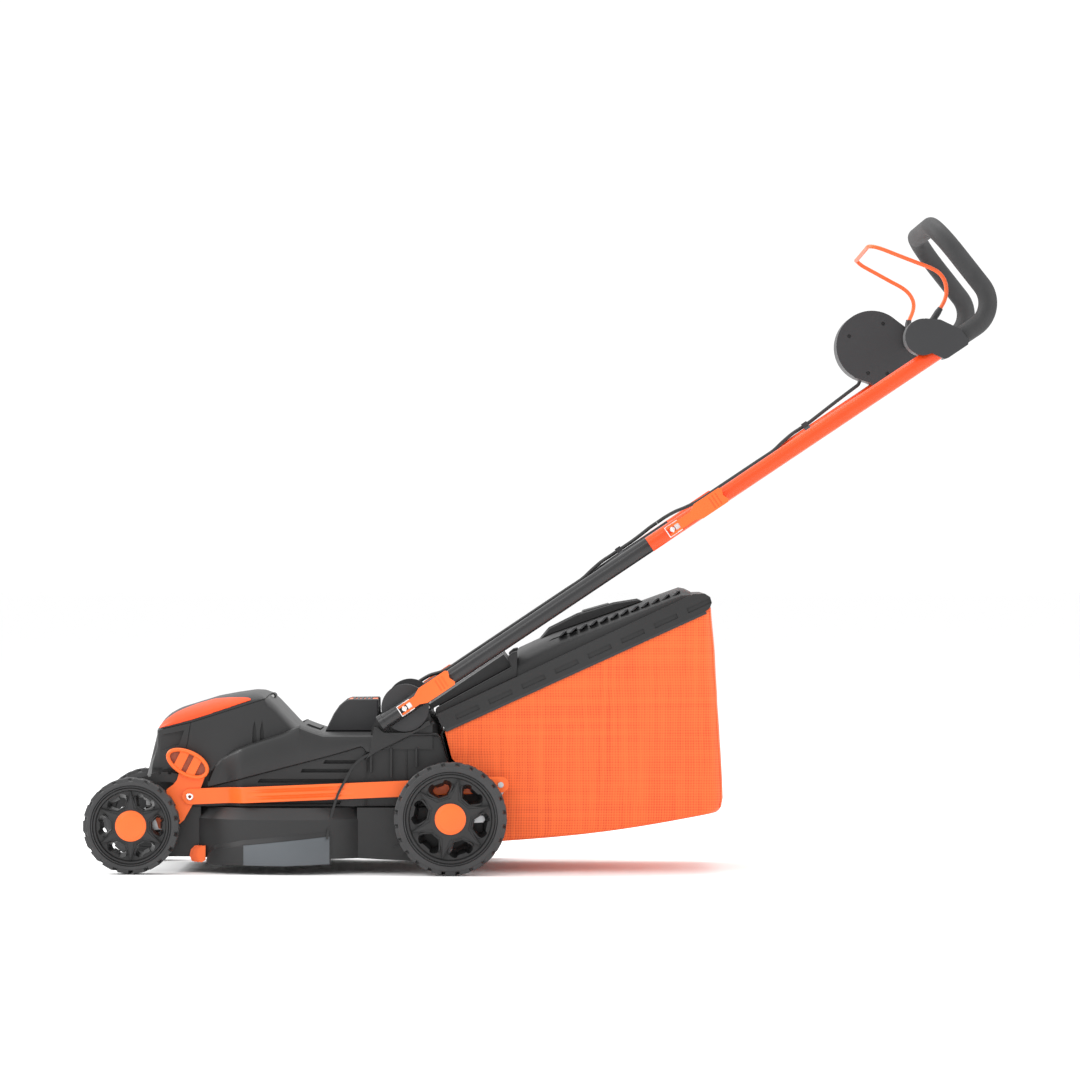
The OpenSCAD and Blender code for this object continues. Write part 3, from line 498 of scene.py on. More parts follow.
def make_nose():
    # how far forward the front face reaches at each height, (z, x)
    front = [(104.6, -631), (150, -630), (160, -626), (175, -622), (185, -617), (196, -613), (212, -611.5),
             (226, -611)]
    rings = []
    stations = [-608 + 226 * (k / 56) for k in range(57)]
    for x in stations:
        side = softened(SEAM, x, 3)
        crown = softened(CROWN, x, 3)
        open_top = x < LID_REAR
        top = side if open_top else crown
        half = softened(NOSE_HALF, x, 6)
        ring = []
        for z in spaced(BOTTOM, min(side, top) - (0 if open_top else 14), 26):
            # lower walls draw in a little under the shoulder line, upper walls lean in
            inward = 11 * step((165 - z) / 14)
            lean = 3.0 * step((z - 200) / 80)
            ring.append((x, -(half - inward - lean), z))
        edge = ring[-1]
        for k in range(1, 12):
            a = pi / 2 * k / 11
            if open_top:
                ring.append((x, edge[1] + 10 * k / 11, edge[2] - 0.2 * k / 11))
            else:
                across = abs(edge[1]) - 46 * (1 - cos(a))
                ring.append((x, -across, edge[2] + (top - edge[2]) * sin(a)))
        ring.append((x, 0, ring[-1][2] + (0.0 if open_top else 2.5)))
        rings.append(ring + [(px, -py, pz) for px, py, pz in reversed(ring[:-1])])
    # front face: a rounded prow ahead of the first station
    prow = []
    for depth in (0.0, 0.35, 0.68, 0.9, 1.0):
        ring = []
        for px, py, pz in rings[0]:
            reach = along(front, pz)
            ring.append((px + (reach - px) * sqrt(depth), py * (1 - 0.3 * depth ** 2), pz))
        prow.append(ring)
    rings = list(reversed(prow[1:])) + rings
    nose = build("nose_housing_shell", skin(rings, True, True), "deck", angle=32)
    bay = prism([(-604, 112), (-604, 300), (-456, 300), (-456, 112)], -112, 112)
    well = prism([(-448, 100), (-448, 258), (-437, 264), (-428, 264), (-392, 228), (-392, 100)], -84, 84)
    cuts = [bay, well]
    # two tapered thumb grooves, the recessed panel ahead and the panel seam on each flank
    for left in (-1, 1):
        for x in (-453, -441):
            groove = [(x - 4.5, 204), (x - 4, 226), (x - 1, 241), (x + 1.5, 226), (x + 3, 207)]
            cuts.append(prism(groove, *flank(left, 128.5, 140)))
        panel = [(-612, 216), (-566, 225.5), (-574, 203), (-606, 192)]
        cuts.append(prism(panel, *flank(left, 123, 140)))
        seam = [(-556.4, 238), (-555, 238), (-559.5, 207), (-562, 198), (-563.4, 198), (-561, 207)]
        cuts.append(prism(seam, *flank(left, 129.5, 140)))
    cut(nose, cuts)
    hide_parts("nose_housing")


def lid_ring(x, inset, count=44):
    """Arch of the battery lid at x, from the left seam to the right one."""
    side = softened(SEAM, x, 3) + 0.8
    crown = max(softened(CROWN, x, 3), side + 1.5) - inset
    half = softened(NOSE_HALF, x, 6) - 2.6 - inset
    ring = []
    for k in range(count + 1):
        a = pi * k / count
        y = -half * copysign(abs(cos(a)) ** (2 / 3.0), cos(a))
        z = side + (crown - side) * abs(sin(a)) ** (2 / 2.4)
        # shallow valley along the middle
        z -= 2.2 * step(1 - abs(y) / 62) * step((x + 600) / 60) * step((-448 - x) / 30)
        ring.append((x, y, z))
    return ring


def make_lid():
    stations = [-609.5 + 173 * (k / 60) for k in range(61)]
    outer = [lid_ring(x, 0) for x in stations]
    inner = [lid_ring(min(x + 3, -438) if i < 30 else x, 3.2) for i, x in enumerate(stations)]
    n = len(outer[0])
    points = [p for ring in outer for p in ring] + [p for ring in inner for p in ring]
    total = len(outer) * n
    faces = []
    for i in range(len(outer) - 1):
        for k in range(n - 1):
            a, b = i * n + k, i * n + k + 1
            faces.append((a, b, b + n, a + n))
            faces.append((a + total, a + n + total, b + n + total, b + total))
    # the edges between the outer and the inner skin
    rims = [(i * n + k, (i + 1) * n + k) for i in range(len(outer) - 1) for k in (0, n - 1)]
    rims += [(i * n + k, i * n + k + 1) for i in (0, len(outer) - 1) for k in range(n - 1)]
    faces += [(a, b, b + total, a + total) for a, b in rims]
    lid = build("battery_lid_shell", (points, faces), "lid", angle=40)
    hinge = joint_at("battery_lid_hinge")
    barrels = both(lathe([(0, 6.3), (5, 6.3), (5, 19.4), (0, 19.4)], (hinge.x, 0, hinge.z), 32))
    build("battery_lid_knuckles", barrels, "lid")
    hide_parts("battery_lid")
    # orange flank inserts that stand proud of the lid, thick at the shoulder and thin at the tip
    low = [(-606, 229), (-552, 243), (-456, 275.4)]
    parts = []
    for left in (-1, 1):
        rings = []
        for i in range(57):
            t = i / 56
            x = -607 + 152 * t
            taper = sin(pi * min(1, 0.06 + t * 0.97)) ** 0.42
            full = lid_ring(x, -1.3, 160)
            bottom = along(low, x)
            side = [p for p in full if p[1] * left >= 0]
            if left > 0:
                side.reverse()
            upper = bottom + (max(p[2] for p in full) - bottom) * 0.93 * taper
            band = [p for p in side if bottom - 0.01 <= p[2] <= upper + 0.01 and abs(p[1]) > 66 + 30 * t]
            if len(band) < 3:
                continue
            picked = []
            for k in range(13):
                pos = k / 12 * (len(band) - 1)
                j = min(int(pos), len(band) - 2)
                picked.append(Vector(band[j]).lerp(Vector(band[j + 1]), pos - j))
            rings.append(picked)
        inside = [[p + Vector((0, -left * 2.2, -1.2)) for p in ring] for ring in rings]
        loops = [o + list(reversed(i)) for o, i in zip(rings, inside)]
        parts.append(skin(loops, True, True))
    trim = build("lid_flank_inserts", merged(parts), "lid", "flank_orange", 50)
    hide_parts("lid_trim")


# ---- body shell behind and beside the nose ----

SHOULDER = [(-528, 140), (-521, 168), (-507, 183.4), (-490, 192.5), (-461, 204), (-440, 211), (-409, 220.6),
            (-382, 234), (-345, 221), (-262, 221), (-258, 222), (-147, 222)]
CREASE = [(-528, 137), (-433, 162), (-333, 188), (-280, 203.5), (-276, 192), (-244, 200.2), (-205, 219.5),
          (-147, 220)]
TOP = [(-381, 234), (-366, 228), (-345, 221), (-262, 221), (-257, 250), (-250, 255.5), (-190, 255.5),
       (-178, 253), (-163, 236), (-147, 180)]


def body_half(x):
    """Half width of the body shell at x."""
    return 137.2 + 18.3 * step((x + 506) / 36)


def body_section(x):
    """Half section from the middle to the foot of the left wall."""
    crease = softened(CREASE, x, 3)
    edge = max(softened(SHOULDER, x, 4), crease + 1)
    half = body_half(x)
    wall = half - 5.5 - 3.5 * step((x + 280) / 6)
    if x < NOSE_END:
        middle = [(0, 106), (127, 106), (128, edge - 4), (129, edge)]
    else:
        top = softened(TOP, x, 2)
        middle = [(0, top), (112, top), (126, top - 1.5), (min(134, half), min(edge, top - 3))]
    if x >= NOSE_END:
        edge = min(edge, middle[-1][1] + 0.5)
        crease = min(crease, edge - 1.5)
    rise = [(half - 11, edge + 0.4), (half - 3.5, edge - 2.2), (half - 0.6, edge - 7)]
    if edge - crease < 9:
        rise = [(half - 3, edge), (half - 1, edge - 0.3), (half - 0.3, edge - 0.8)]
    low = [(half, crease + 0.6), (half - 0.8, crease - 1.2), (wall, crease - 3.2), (wall, 106)]
    return [(x, -y, z) for y, z in middle + rise + low + [(wall - 2, 104.4)]]


def make_body():
    stations = [-528, -526, -522, -516] + spaced(-508, -384, 32) + [-381.6, -381.4] + spaced(-377, -262, 28)
    stations += [-261, -258, -256, -252] + spaced(-246, -166, 16) + [-163, -158, -153, -149, -147]
    rings = []
    for x in stations:
        half_ring = body_section(x)
        rings.append(half_ring + [(px, -py, pz) for px, py, pz in reversed(half_ring[1:])])
    shell = build("deck_upper_shell", skin(rings, True, True), "deck", angle=28)
    cuts = []
    slots = [(173.5, -344, -290), (159.5, -380, -300), (143.5, -448, -309), (109, -476, -318)]
    for z, x0, x1 in slots:
        slot = [(x0, z), (x0 + 3, z + 5.6), (x1 + 3.5, z + 5.6), (x1, z)]
        cuts.append(prism(slot, -170, -139))
        cuts.append(prism(slot, 139, 170))
    cuts.append(prism([(-158, 214), (-100, 214), (-100, 90), (-158, 90)], -121, 121))
    cut(shell, cuts)
    rounded(shell, 0.8, 2, 40)
    # vertical ribs on the rear wall beside the chute, and the raised panel ahead of the carry handle
    ribs = [prism([(x - 1.6, foot), (x - 1.6, 198), (x + 1.6, 198), (x + 1.6, foot)], -155.4, -145)
            for x, foot in ((-268, 160), (-236, 152), (-196, 168))]
    ribs += [prism([(-212.4, 104), (-212.4, 198), (-210.8, 198), (-210.8, 104)], -148.4, -145)]
    # the bracket's web, from its front edge down to the diagonal ledge and round under the pivot disc
    web = [(-263, 231), (-271, 188), (-278, 179), (-262, 190.5), (-244, 200.2), (-205, 219.5), (-173, 235),
           (-175.5, 242.4), (-180.5, 241), (-190, 231.5), (-202, 225), (-214, 223), (-247, 223),
           (-257, 231)]
    ribs += [prism(web, -157.4, -148)]
    raised_panel = prism([(-376, 231.5), (-372, 233.5), (-352, 226), (-352, 223)], -58, 58)
    detail = merged([both(part) for part in ribs] + [raised_panel])
    trim = build("deck_shell_ribs", detail, "deck")
    rounded(trim, 0.6, 2)
    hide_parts("body_shell")


def make_carry_handle():
    inner, ribbed = 48, 46.5
    side = [(-345, 221.3), (-331, 250), (-322, 263), (-314, 269.8), (-306, 272.8), (-260, 273.2),
            (-258.4, 221.3)]
    cheeks = both(prism(side, inner, 64))
    bar = [(-318, 256.4), (-319, 262), (-314, 267.4), (-306, 270.4), (-262, 270.4), (-260, 256.4)]
    handle = build("carry_handle_shell", merged([cheeks, prism(bar, -inner, inner)]), "deck",
                   "black_plastic")
    rounded(handle, 2.6, 4)
    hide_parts("carry_handle")
    # orange inlay that shows at both ends, with black ribs across its middle
    inlay = [(-316, 266.5), (-307, 271.6), (-263, 271.6), (-263, 268.5), (-306, 268.5), (-314, 264.5)]
    grip = build("carry_grip_inlay", prism(inlay, -ribbed, ribbed), "deck", "orange_plastic")
    rounded(grip, 0.7, 2)
    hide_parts("carry_grip")
    strips = []
    for k in range(5):
        x = -302 + 6.6 * k
        strip = [(x, 270.5), (x + 0.6, 273.2), (x + 3.8, 273.2), (x + 4.4, 270.5)]
        strips.append(prism(strip, -ribbed, ribbed))
    rounded(build("carry_grip_ribs", merged(strips), "deck", "black_plastic"), 0.7, 2)


# ---- wheels ----

def tyre_part(r, w, lugs):
    """Tyre about the origin with its inner side on Y = 0 and its outer side at Y = -w."""
    base = 0.8 * r
    profile = [(base, -w + 1.5), (base + 0.5, -w + 0.4), (base + 1.6, -w + 0.8), (base + 2.6, -w + 2.4),
               (base + 3.8, -w + 0.6), (r - 7.5, -w), (r - 6, -w + 0.8), (r - 5.2, -w + 3.5),
               (r - 4.8, -w + 8), (r - 4.8, -8), (r - 5.2, -3.5), (r - 6, -0.8), (r - 7.5, 0),
               (base + 1, 0), (base, -1.5)]
    body = lathe(profile + [profile[0]], (0, 0, 0), 120)
    blocks = []
    pitch = 2 * pi / lugs
    for k in range(lugs):
        for y0, y1, shift in ((-w + 0.6, -w * 0.53, 0.0), (-w * 0.47, -0.6, 0.5)):
            middle = (k + shift) * pitch
            outer = y0 if shift == 0.0 else y1
            inner = y1 if shift == 0.0 else y0
            ring = []
            steps = ((0.36, r - 7.0, 0.0), (0.34, r - 1.0, 0.6), (0.29, r - 0.05, 1.8))
            for grow, level, spread_out in steps:
                corners = []
                for side, y in ((-1, outer), (1, outer), (1, inner), (-1, inner)):
                    toward = (spread_out if y == min(outer, inner) else -spread_out)
                    skew = 0.16 * pitch if y == inner else 0.0
                    a = middle + side * grow * pitch + skew
                    corners.append((level * cos(a), y + toward, level * sin(a)))
                ring.append(corners)
            blocks.append(skin(ring, True, True))
    return merged([body] + blocks)


# one window between two rays, [outwards, across] in shares of the wheel's radius
HALF_WINDOW = [(0.655, 0.08), (0.684, 0.1), (0.68, 0.14), (0.64, 0.19), (0.595, 0.212), (0.54, 0.2),
               (0.415, 0.085)]
WINDOW = [(u, -v) for u, v in reversed(HALF_WINDOW)] + HALF_WINDOW
# half of one ray of the star, from its tip to the valley beside it
RAY = [(0.74, 0.0), (0.62, 0.03), (0.52, 0.062), (0.44, 0.1), (0.372, 0.117)]


def turned(u, v, angle):
    """The side-view point (u, v) turned about the origin."""
    return u * cos(angle) - v * sin(angle), u * sin(angle) + v * cos(angle)


def rim_parts(r, w, turn):
    """Dished wheel centre with six windows, and the star and window lips that stand on it."""
    face = -(w - 7)
    profile = [(6.1, -4), (0.2 * r, -4), (0.7 * r, -5), (0.72 * r, -3), (0.795 * r, -2),
               (0.795 * r, -w + 2.4), (0.775 * r, -w + 1.4), (0.745 * r, -w + 2.2), (0.72 * r, face + 1.2),
               (0.66 * r, face + 2.4), (0.36 * r, face + 1.4), (17, face + 0.4), (16.3, -w + 4),
               (6.1, -w + 4)]
    disc = lathe(profile + [profile[0]], (0, 0, 0), 120)
    windows, lips, stars = [], [], []
    for k in range(6):
        a = radians(turn + 60 * k)

        def put(u, v, angle=a):
            across, up = turned(u, v, angle)
            return r * across, r * up

        # the opening narrows towards the back and drifts a little towards the hub
        holes = []
        for y, scale, drift in ((-w - 5, 1.0, 0.0), (face + 2, 1.0, 0.0), (5, 0.56, 0.05)):
            holes.append([(p[0], y, p[1]) for p in
                          (put(0.55 - drift + (u - 0.55) * scale, 1.06 * v * scale) for u, v in WINDOW)])
        windows.append(skin(holes, True, True))
        # the lip runs round the hub side of the window and fades out towards the tyre
        inner = [(u, v) for u, v in WINDOW if u < 0.6]
        inner.sort(key=lambda q: q[1])
        outer = [(u - (0.036 if u < 0.5 else 0.012), v + copysign(0.03 if u < 0.5 else 0.034, v))
                 for u, v in inner]
        rings = []
        for i, (near, far) in enumerate(zip(inner, outer)):
            low = face + (1.4 if i in (0, len(inner) - 1) else -1.4)
            n, f = put(*near), put(*far)
            rings.append([(n[0], face + 6, n[1]), (n[0], low, n[1]),
                          (f[0], low + 0.3, f[1]), (f[0], face + 6, f[1])])
        lips.append(skin(rings, True, True))
    for share, top in ((1.0, -3.4), (0.56, -5.2)):
        outline = []
        for k in range(6):
            b = radians(turn + 30 + 60 * k)
            half = [(u if share == 1.0 else 0.3 + (u - 0.3) * 0.93, v * share) for u, v in RAY]
            for u, v in [(u, -v) for u, v in reversed(half[1:])] + half:
                across, up = turned(u, v, b)
                outline.append((r * across, r * up))
        points, faces = prism(outline, face + top, face + 4)
        sides = [f for f in faces if len(f) == 4]
        n = len(outline)
        # the top is a fan round the hub so that the many-pointed outline fills cleanly
        points += [(0, face + top, 0), (0, face + 4, 0)]
        sides += [(i, (i + 1) % n, 2 * n) for i in range(n)]
        sides += [(n + (i + 1) % n, n + i, 2 * n + 1) for i in range(n)]
        stars.append((points, sides))
    return disc, windows, merged(lips), merged(stars)


def cap_part(w):
    """Stepped hub dome on the outer side of a wheel of width w."""
    top = -w
    profile = [(0, top + 4.9), (15.8, top + 4.9), (15.8, top + 2), (24.2, top + 2), (24.6, top + 1.4),
               (24.4, top + 0.2), (23, top - 0.9), (20.4, top - 1.9), (19.2, top - 2.1), (18.8, top - 2.5),
               (12, top - 2.9), (0, top - 3)]
    return lathe(profile, (0, 0, 0), 72)


def moved(part, at, right):
    """A part moved to at, and mirrored first for the right side."""
    points, faces = mirrored(part) if right else part
    return [(x + at[0], y + at[1], z + at[2]) for x, y, z in points], faces


def make_wheels():
    for side in SIDES:
        low, high = node_box("tyre_" + side)
        centre = (low + high) / 2
        r = (high.z - low.z) / 2
        w = high.y - low.y
        right = side.endswith("right")
        at = (centre.x, low.y if right else high.y, centre.z)
        lugs, turn = (18, 0) if side.startswith("front") else (24, 48.5)
        body = "wheel_" + side
        tyre = build("tread_" + side, moved(tyre_part(r, w, lugs), at, right), body, "tyre", 30)
        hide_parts("tyre_" + side)
        disc, windows, lips, rays = rim_parts(r, w, turn)
        centre_part = build("wheel_disc_" + side, moved(disc, at, right), body, angle=28)
        cut(centre_part, [moved(part, at, right) for part in windows])
        rounded(centre_part, 0.8, 2, 40)
        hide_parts("rim_" + side)
        raised = moved(merged([lips, rays]), at, right)
        star = build("wheel_star_" + side, raised, body, angle=25)
        rounded(star, 0.7, 2, 30)
        cap = build("hub_dome_" + side, moved(cap_part(w), at, right), body, "orange_plastic", 40)
        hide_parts("hubcap_" + side)


# ---- height lever ----

def make_lever():
    head = Vector((-559.5, 174))
    tilt = radians(-27)

    def on_head(x, z):
        across, up = turned(x, z, tilt)
        return head.x + across, head.y + up

    def oval(a, b, count=64):
        turns = [2 * pi * k / count for k in range(count)]
        return [on_head(a * cos(t), b * sin(t) * (1 + 0.06 * cos(t))) for t in turns]

    arm = [(-573, 160), (-577, 147), (-583, 139.5), (-592.7, 132.7), (-600, 112), (-611, 86), (-606, 70),
           (-590, 68), (-577, 74), (-565.6, 83.4), (-552, 108), (-540.2, 131.1), (-531, 156), (-545, 166)]
    plate = prism(arm, -138.2, -134.3)
    backing = prism(oval(33, 17.4), -141, -134.3)
    rim_line = [Vector((x, -146.3, z)) for x, z in oval(33.6, 17.6)]
    rim_line.append(rim_line[0])
    rim = swept(rim_line, 3.1, 14, False)
    wall_out, wall_in = oval(36, 20.2), oval(32, 16)
    loop = [[(x, y, z) for x, z in edge] for edge, y in
            ((wall_in, -135), (wall_in, -146), (wall_out, -146), (wall_out, -135))]
    points, faces = skin(loop, True, False)
    n = len(wall_out)
    faces += [(i, (i + 1) % n, 3 * n + (i + 1) % n, 3 * n + i) for i in range(n)]
    pressing = merged([plate, (points, faces), rim])
    lever = build("lever_plate", pressing, "front_axle_set", "orange_plastic", 40)
    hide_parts("height_lever")
    # rivet head with its dimple
    low, high = node_box("lever_rivet")
    middle, reach, deep = (low + high) / 2, (high.x - low.x) / 2, high.y - low.y
    ring = [(2.4, 3), (2.4, 0.5), (2.9, 0), (reach - 0.8, 0), (reach, 0.8), (reach, deep), (0, deep),
            (0, 3), (2.4, 3)]
    turning = lathe(ring, (middle.x, low.y, middle.z), 40)
    rivet = build("lever_rivet_head", turning, "front_axle_set", "zinc")
    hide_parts("lever_rivet")
    # the recess floor wears a darker orange that stands in for the shade in the recess (painted shade)
    floor = build("lever_recess", backing, "front_axle_set", "deep_orange")
    bars = []
    for x0, x1 in ((-18.5, -4.2), (4.2, 18.5)):
        ring = []
        for k in range(9):
            x = x0 + (x1 - x0) * k / 8
            ring.append((x, 15.6 * sqrt(max(0, 1 - (x / 32) ** 2))))
        local = ring + [(x, -z) for x, z in reversed(ring)]
        bars.append(prism([on_head(x, z) for x, z in local], -146.6, -140))
    bridges = build("lever_bars", merged(bars), "front_axle_set", "orange_plastic")
    rounded(bridges, 0.9, 3)


def make_tie_bar():
    front, rear = Vector((-556, 120.7)), Vector((-62, 141))
    way = (rear - front).normalized()
    up = Vector((-way.y, way.x))
    long = (rear - front).length
    radius, past_eye = 12.5, (3, 6.5, 9.5, 11.5, 12.3)

    def outer(u):
        return -(142.6 + 27.9 * step((u - 56) / 36))

    rings = []
    stations = [-q for q in reversed(past_eye)] + spaced(0, 56, 4) + spaced(59, 94, 13)
    stations += spaced(104, long, 30) + [long + q for q in past_eye]
    for u in stations:
        past = max(0.0, -u, u - long)
        half = sqrt(max(0.05, radius ** 2 - past ** 2))
        y = outer(u)
        depth = 3.0 * step((u - 92) / 26) * step((254 - u) / 26)
        face = []
        for k in range(25):
            v = -half + 2 * half * k / 24
            edge = min(half - abs(v), 1.2)
            press = sum(depth * max(0.0, 1 - ((v - c) / 2.9) ** 2) for c in (-5.2, 5.2))
            face.append((v, y + (1.2 - edge) * 0.6 + press))
        back = [(half, y + 4), (-half, y + 4)]
        ring = []
        for v, across in face + back:
            p = front + way * u + up * v
            ring.append((p.x, across, p.y))
        rings.append(ring)
    bar = build("tie_bar_pressing", skin(rings, True, True), "tie_bar_set", "orange_plastic", 40)
    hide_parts("tie_bar")


def make_rail():
    """The moulded edge that runs from the bracket's ledge down over the tie bar to the skirt."""
    route = [(-168, -148, 238.6), (-205, -150, 220.5), (-250, -153, 199.5), (-284, -159, 181),
             (-297, -168, 168), (-307, -173.2, 150), (-320, -173.8, 125), (-330, -175.5, 92),
             (-335, -182, 68), (-336, -190, 56)]
    parts = []
    for sign in (1, -1):
        line = smooth_path([(x, y * sign, z) for x, y, z in route], 5)
        rings = []
        for i, p in enumerate(line):
            way = (line[min(i + 1, len(line) - 1)] - line[max(i - 1, 0)]).normalized()
            across = Vector((-way.z, 0, way.x)).normalized() * 1.9
            out = Vector((0, sign, 0)) * 2.2
            rings.append([p - across, p - across + out * 0.6, p - across * 0.5 + out,
                          p + across * 0.5 + out, p + across + out * 0.6, p + across])
        parts.append(skin(rings, True, True))
    build("deck_edge_rail", merged(parts), "deck", angle=50)


def make_cam_plates():
    """Zinc plates that the cam levers bear on."""
    for name, joint, y, body in (("lower", "handle_fold", 180.2, "lower_handle"),
                                 ("upper", "upper_handle_fold", 205.8, "upper_handle")):
        at = joint_at(joint)
        parts, windows = [], []
        for sign in (1, -1):
            outline = []
            for u, v in ((-10, -9.2), (14, -9.2), (14, 9.2), (-10, 9.2)):
                p = on_handle(at, (u, 0, v))
                outline.append((p.x, p.z))
            parts.append(prism(outline, *flank(sign, y, y + 3)))
            # window that the lever's end swings through
            opening = [on_handle(at, (u, 0, v)) for u, v in ((-8, -7.9), (5, -7.9), (5, 7.9), (-8, 7.9))]
            windows.append(prism([(p.x, p.z) for p in opening], *flank(sign, y - 1, y + 4)))
        plate = build("cam_plate_" + name, merged(parts), body, "zinc")
        cut(plate, windows)
        rounded(plate, 0.8, 2)


SKIRT_TOP = [(-530, 21), (-528.5, 28), (-525, 33), (-518, 36.4), (-505, 39), (-468, 46.4), (-400, 53.8),
             (-331, 61)]
SKIRT_BOTTOM = [(-530, 14), (-402, 13), (-331, 15.6)]


def make_skirts():
    """Side guards on the blade housing, each with a plain grey plate where the maker's words would be."""
    middle_x = -397.0
    plates, labels = [], []
    layers = ((spaced(-530, -331, 60), 189.4, 195, 0, 0, 7.5),
              (spaced(-468.5, -332.6, 40), 194.4, 195.6, 0.8, 0.6, 0))
    for sign in (1, -1):
        for spans, inner, outer, top_drop, foot, flare in layers:
            rings = []
            for x in spans:
                top, bottom = along(SKIRT_TOP, x) - top_drop, along(SKIRT_BOTTOM, x) + foot
                rise = flare * step((x + 530) / 14)
                section = [(inner, bottom), (outer - 0.8, bottom), (outer, bottom + 0.8),
                           (outer, top - 1.2), (outer - 0.5, top - 0.2), (outer - 1.4, top + 0.3),
                           (inner + 0.9, top + rise), (inner, top + rise)]
                rings.append([(x, sign * sqrt(r * r - (x - middle_x) ** 2), z) for r, z in section])
            (plates if flare else labels).append(skin(rings, True, True))
    skirts = build("skirt_plates", merged(plates), "deck", angle=30)
    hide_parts("side_skirts")
    build("skirt_labels", merged(labels), "deck", "grey_label", 30)


# ---- grass bag ----

def make_bag():
    low, high = node_box("bag_fabric")
    half = high.y - 0.5
    front = [(0.0, (-68, 46)), (0.38, (-73, 128)), (0.62, (-128, 168)), (0.78, (-140, 182)),
             (1.0, (-151, 224))]
    rear = [(0.0, (279, 92)), (0.05, (288, 103)), (0.12, (290, 118)), (1.0, (272, 421))]

    def edge(table, v):
        return Vector((along([(t, p[0]) for t, p in table], v), along([(t, p[1]) for t, p in table], v)))

    rings = []
    rows = [0.0, 0.008, 0.02, 0.035, 0.055] + spaced(0.08, 1.0, 46)
    corner = 20
    side_steps, corner_steps, end_steps, floor_steps = 48, 8, 28, 6
    for v in rows:
        a, b = edge(front, v), edge(rear, v)
        way = (b - a).normalized()
        length = (b - a).length
        lift = 13 * (1 - sqrt(max(0, 1 - (1 - min(1, v / 0.055)) ** 2)))
        ring = []

        def put(s, y):
            """A point s along the side, y from the middle, with the cloth's slack."""
            share = s / length
            slack = sin(pi * share) * sin(pi * min(1, v * 1.05))
            ripple = noise.noise(Vector((s * 0.011, y * 0.013, v * 5.2))) * 1.9
            ripple += noise.noise(Vector((s * 0.035, y * 0.03 + 7, v * 11))) * 0.6
            belly = -7.0 * sin(pi * share) * (1 - v) ** 3
            grow = (2.2 * slack + ripple * min(1, 6 * v, 6 * (1 - v) + 0.15)) / half
            p = a + way * s
            bulge_x = ripple * 0.7 + 2.0 * sin(pi * v)
            bulge_x *= step((share - 0.9) / 0.1) * min(1, 5 * (1 - v))
            return (p.x + bulge_x, y * (1 + grow) * (1 - 0.1 * lift / 13 * 0.6), p.y + belly + lift * 0.25)

        # up the left side, round the rear corner, across the back, and down the right side the same way
        for k in range(side_steps + 1):
            ring.append(put((length - corner) * k / side_steps, -half))
        for k in range(1, corner_steps + 1):
            t = pi / 2 * k / corner_steps
            ring.append(put(length - corner + corner * sin(t), -half + corner * (1 - cos(t))))
        for k in range(1, end_steps):
            ring.append(put(length, -half + corner + (2 * half - 2 * corner) * k / end_steps))
        for k in range(corner_steps + 1):
            t = pi / 2 * (1 - k / corner_steps)
            ring.append(put(length - corner + corner * sin(t), half - corner * (1 - cos(t))))
        for k in range(1, side_steps + 1):
            ring.append(put((length - corner) * (1 - k / side_steps), half))
        for k in range(1, end_steps):
            ring.append(put(0, half - 2 * half * k / end_steps))
        rings.append(ring)
    points, faces = skin(rings, True, False)
    n = len(rings[0])
    # the bottom panel closes with rows that run inwards
    base = len(points)
    inner = []
    for i in range(1, floor_steps):
        shrink = 1 - i / floor_steps
        for x, y, z in rings[0]:
            inner.append((x, y * shrink, z - 1.5 * sin(pi * i / 12)))
    rows = [list(range(base + i * n, base + (i + 1) * n)) for i in range(floor_steps - 1)]
    centre_rows = [list(range(n))] + rows
    points += inner
    for r0, r1 in zip(centre_rows, centre_rows[1:]):
        for k in range(n):
            faces.append((r0[k], r1[k], r1[(k + 1) % n], r0[(k + 1) % n]))
    last = centre_rows[-1]
    faces.append(tuple(reversed(last)))
    # the mouth where the chute blows in
    mouth_low, mouth_high, mouth_half, mouth_rear = 150, 207, 110, -60
    kept = []
    for f in faces:
        c = sum((Vector(points[i]) for i in f), Vector()) / len(f)
        in_mouth = abs(c.y) < mouth_half and c.x < mouth_rear and mouth_low < c.z < mouth_high
        if len(f) != 4 or not in_mouth:
            kept.append(f)
    cloth = build("bag_cloth_shell", (points, kept), "grass_bag", "bag_cloth", 60)
    thick = cloth.modifiers.new("cloth", "SOLIDIFY")
    thick.thickness = 1.1 * MM
    thick.offset = -1
    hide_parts("bag_fabric")
    # piped seams up the rear corners
    strips = []
    for side in (-1, 1):
        at = side_steps + 1 + corner_steps // 2 if side < 0 else -end_steps - side_steps - corner_steps // 2
        seam = [Vector(ring[at]) for ring in rings[4:]]
        strips.append(swept(seam, 1.2, 8))
    build("bag_seam_piping", merged(strips), "grass_bag", "bag_cloth", 60)


LID_LINE = [(-163.5, 252), (243.7, 442.6)]
LID_CROWN = [(-122, 269), (-100, 282), (-60, 303), (-44, 311), (-39.5, 344), (-35, 353), (-22, 359),
             (19, 378), (120, 413.5), (217, 448.5), (228, 452.5), (240, 446)]


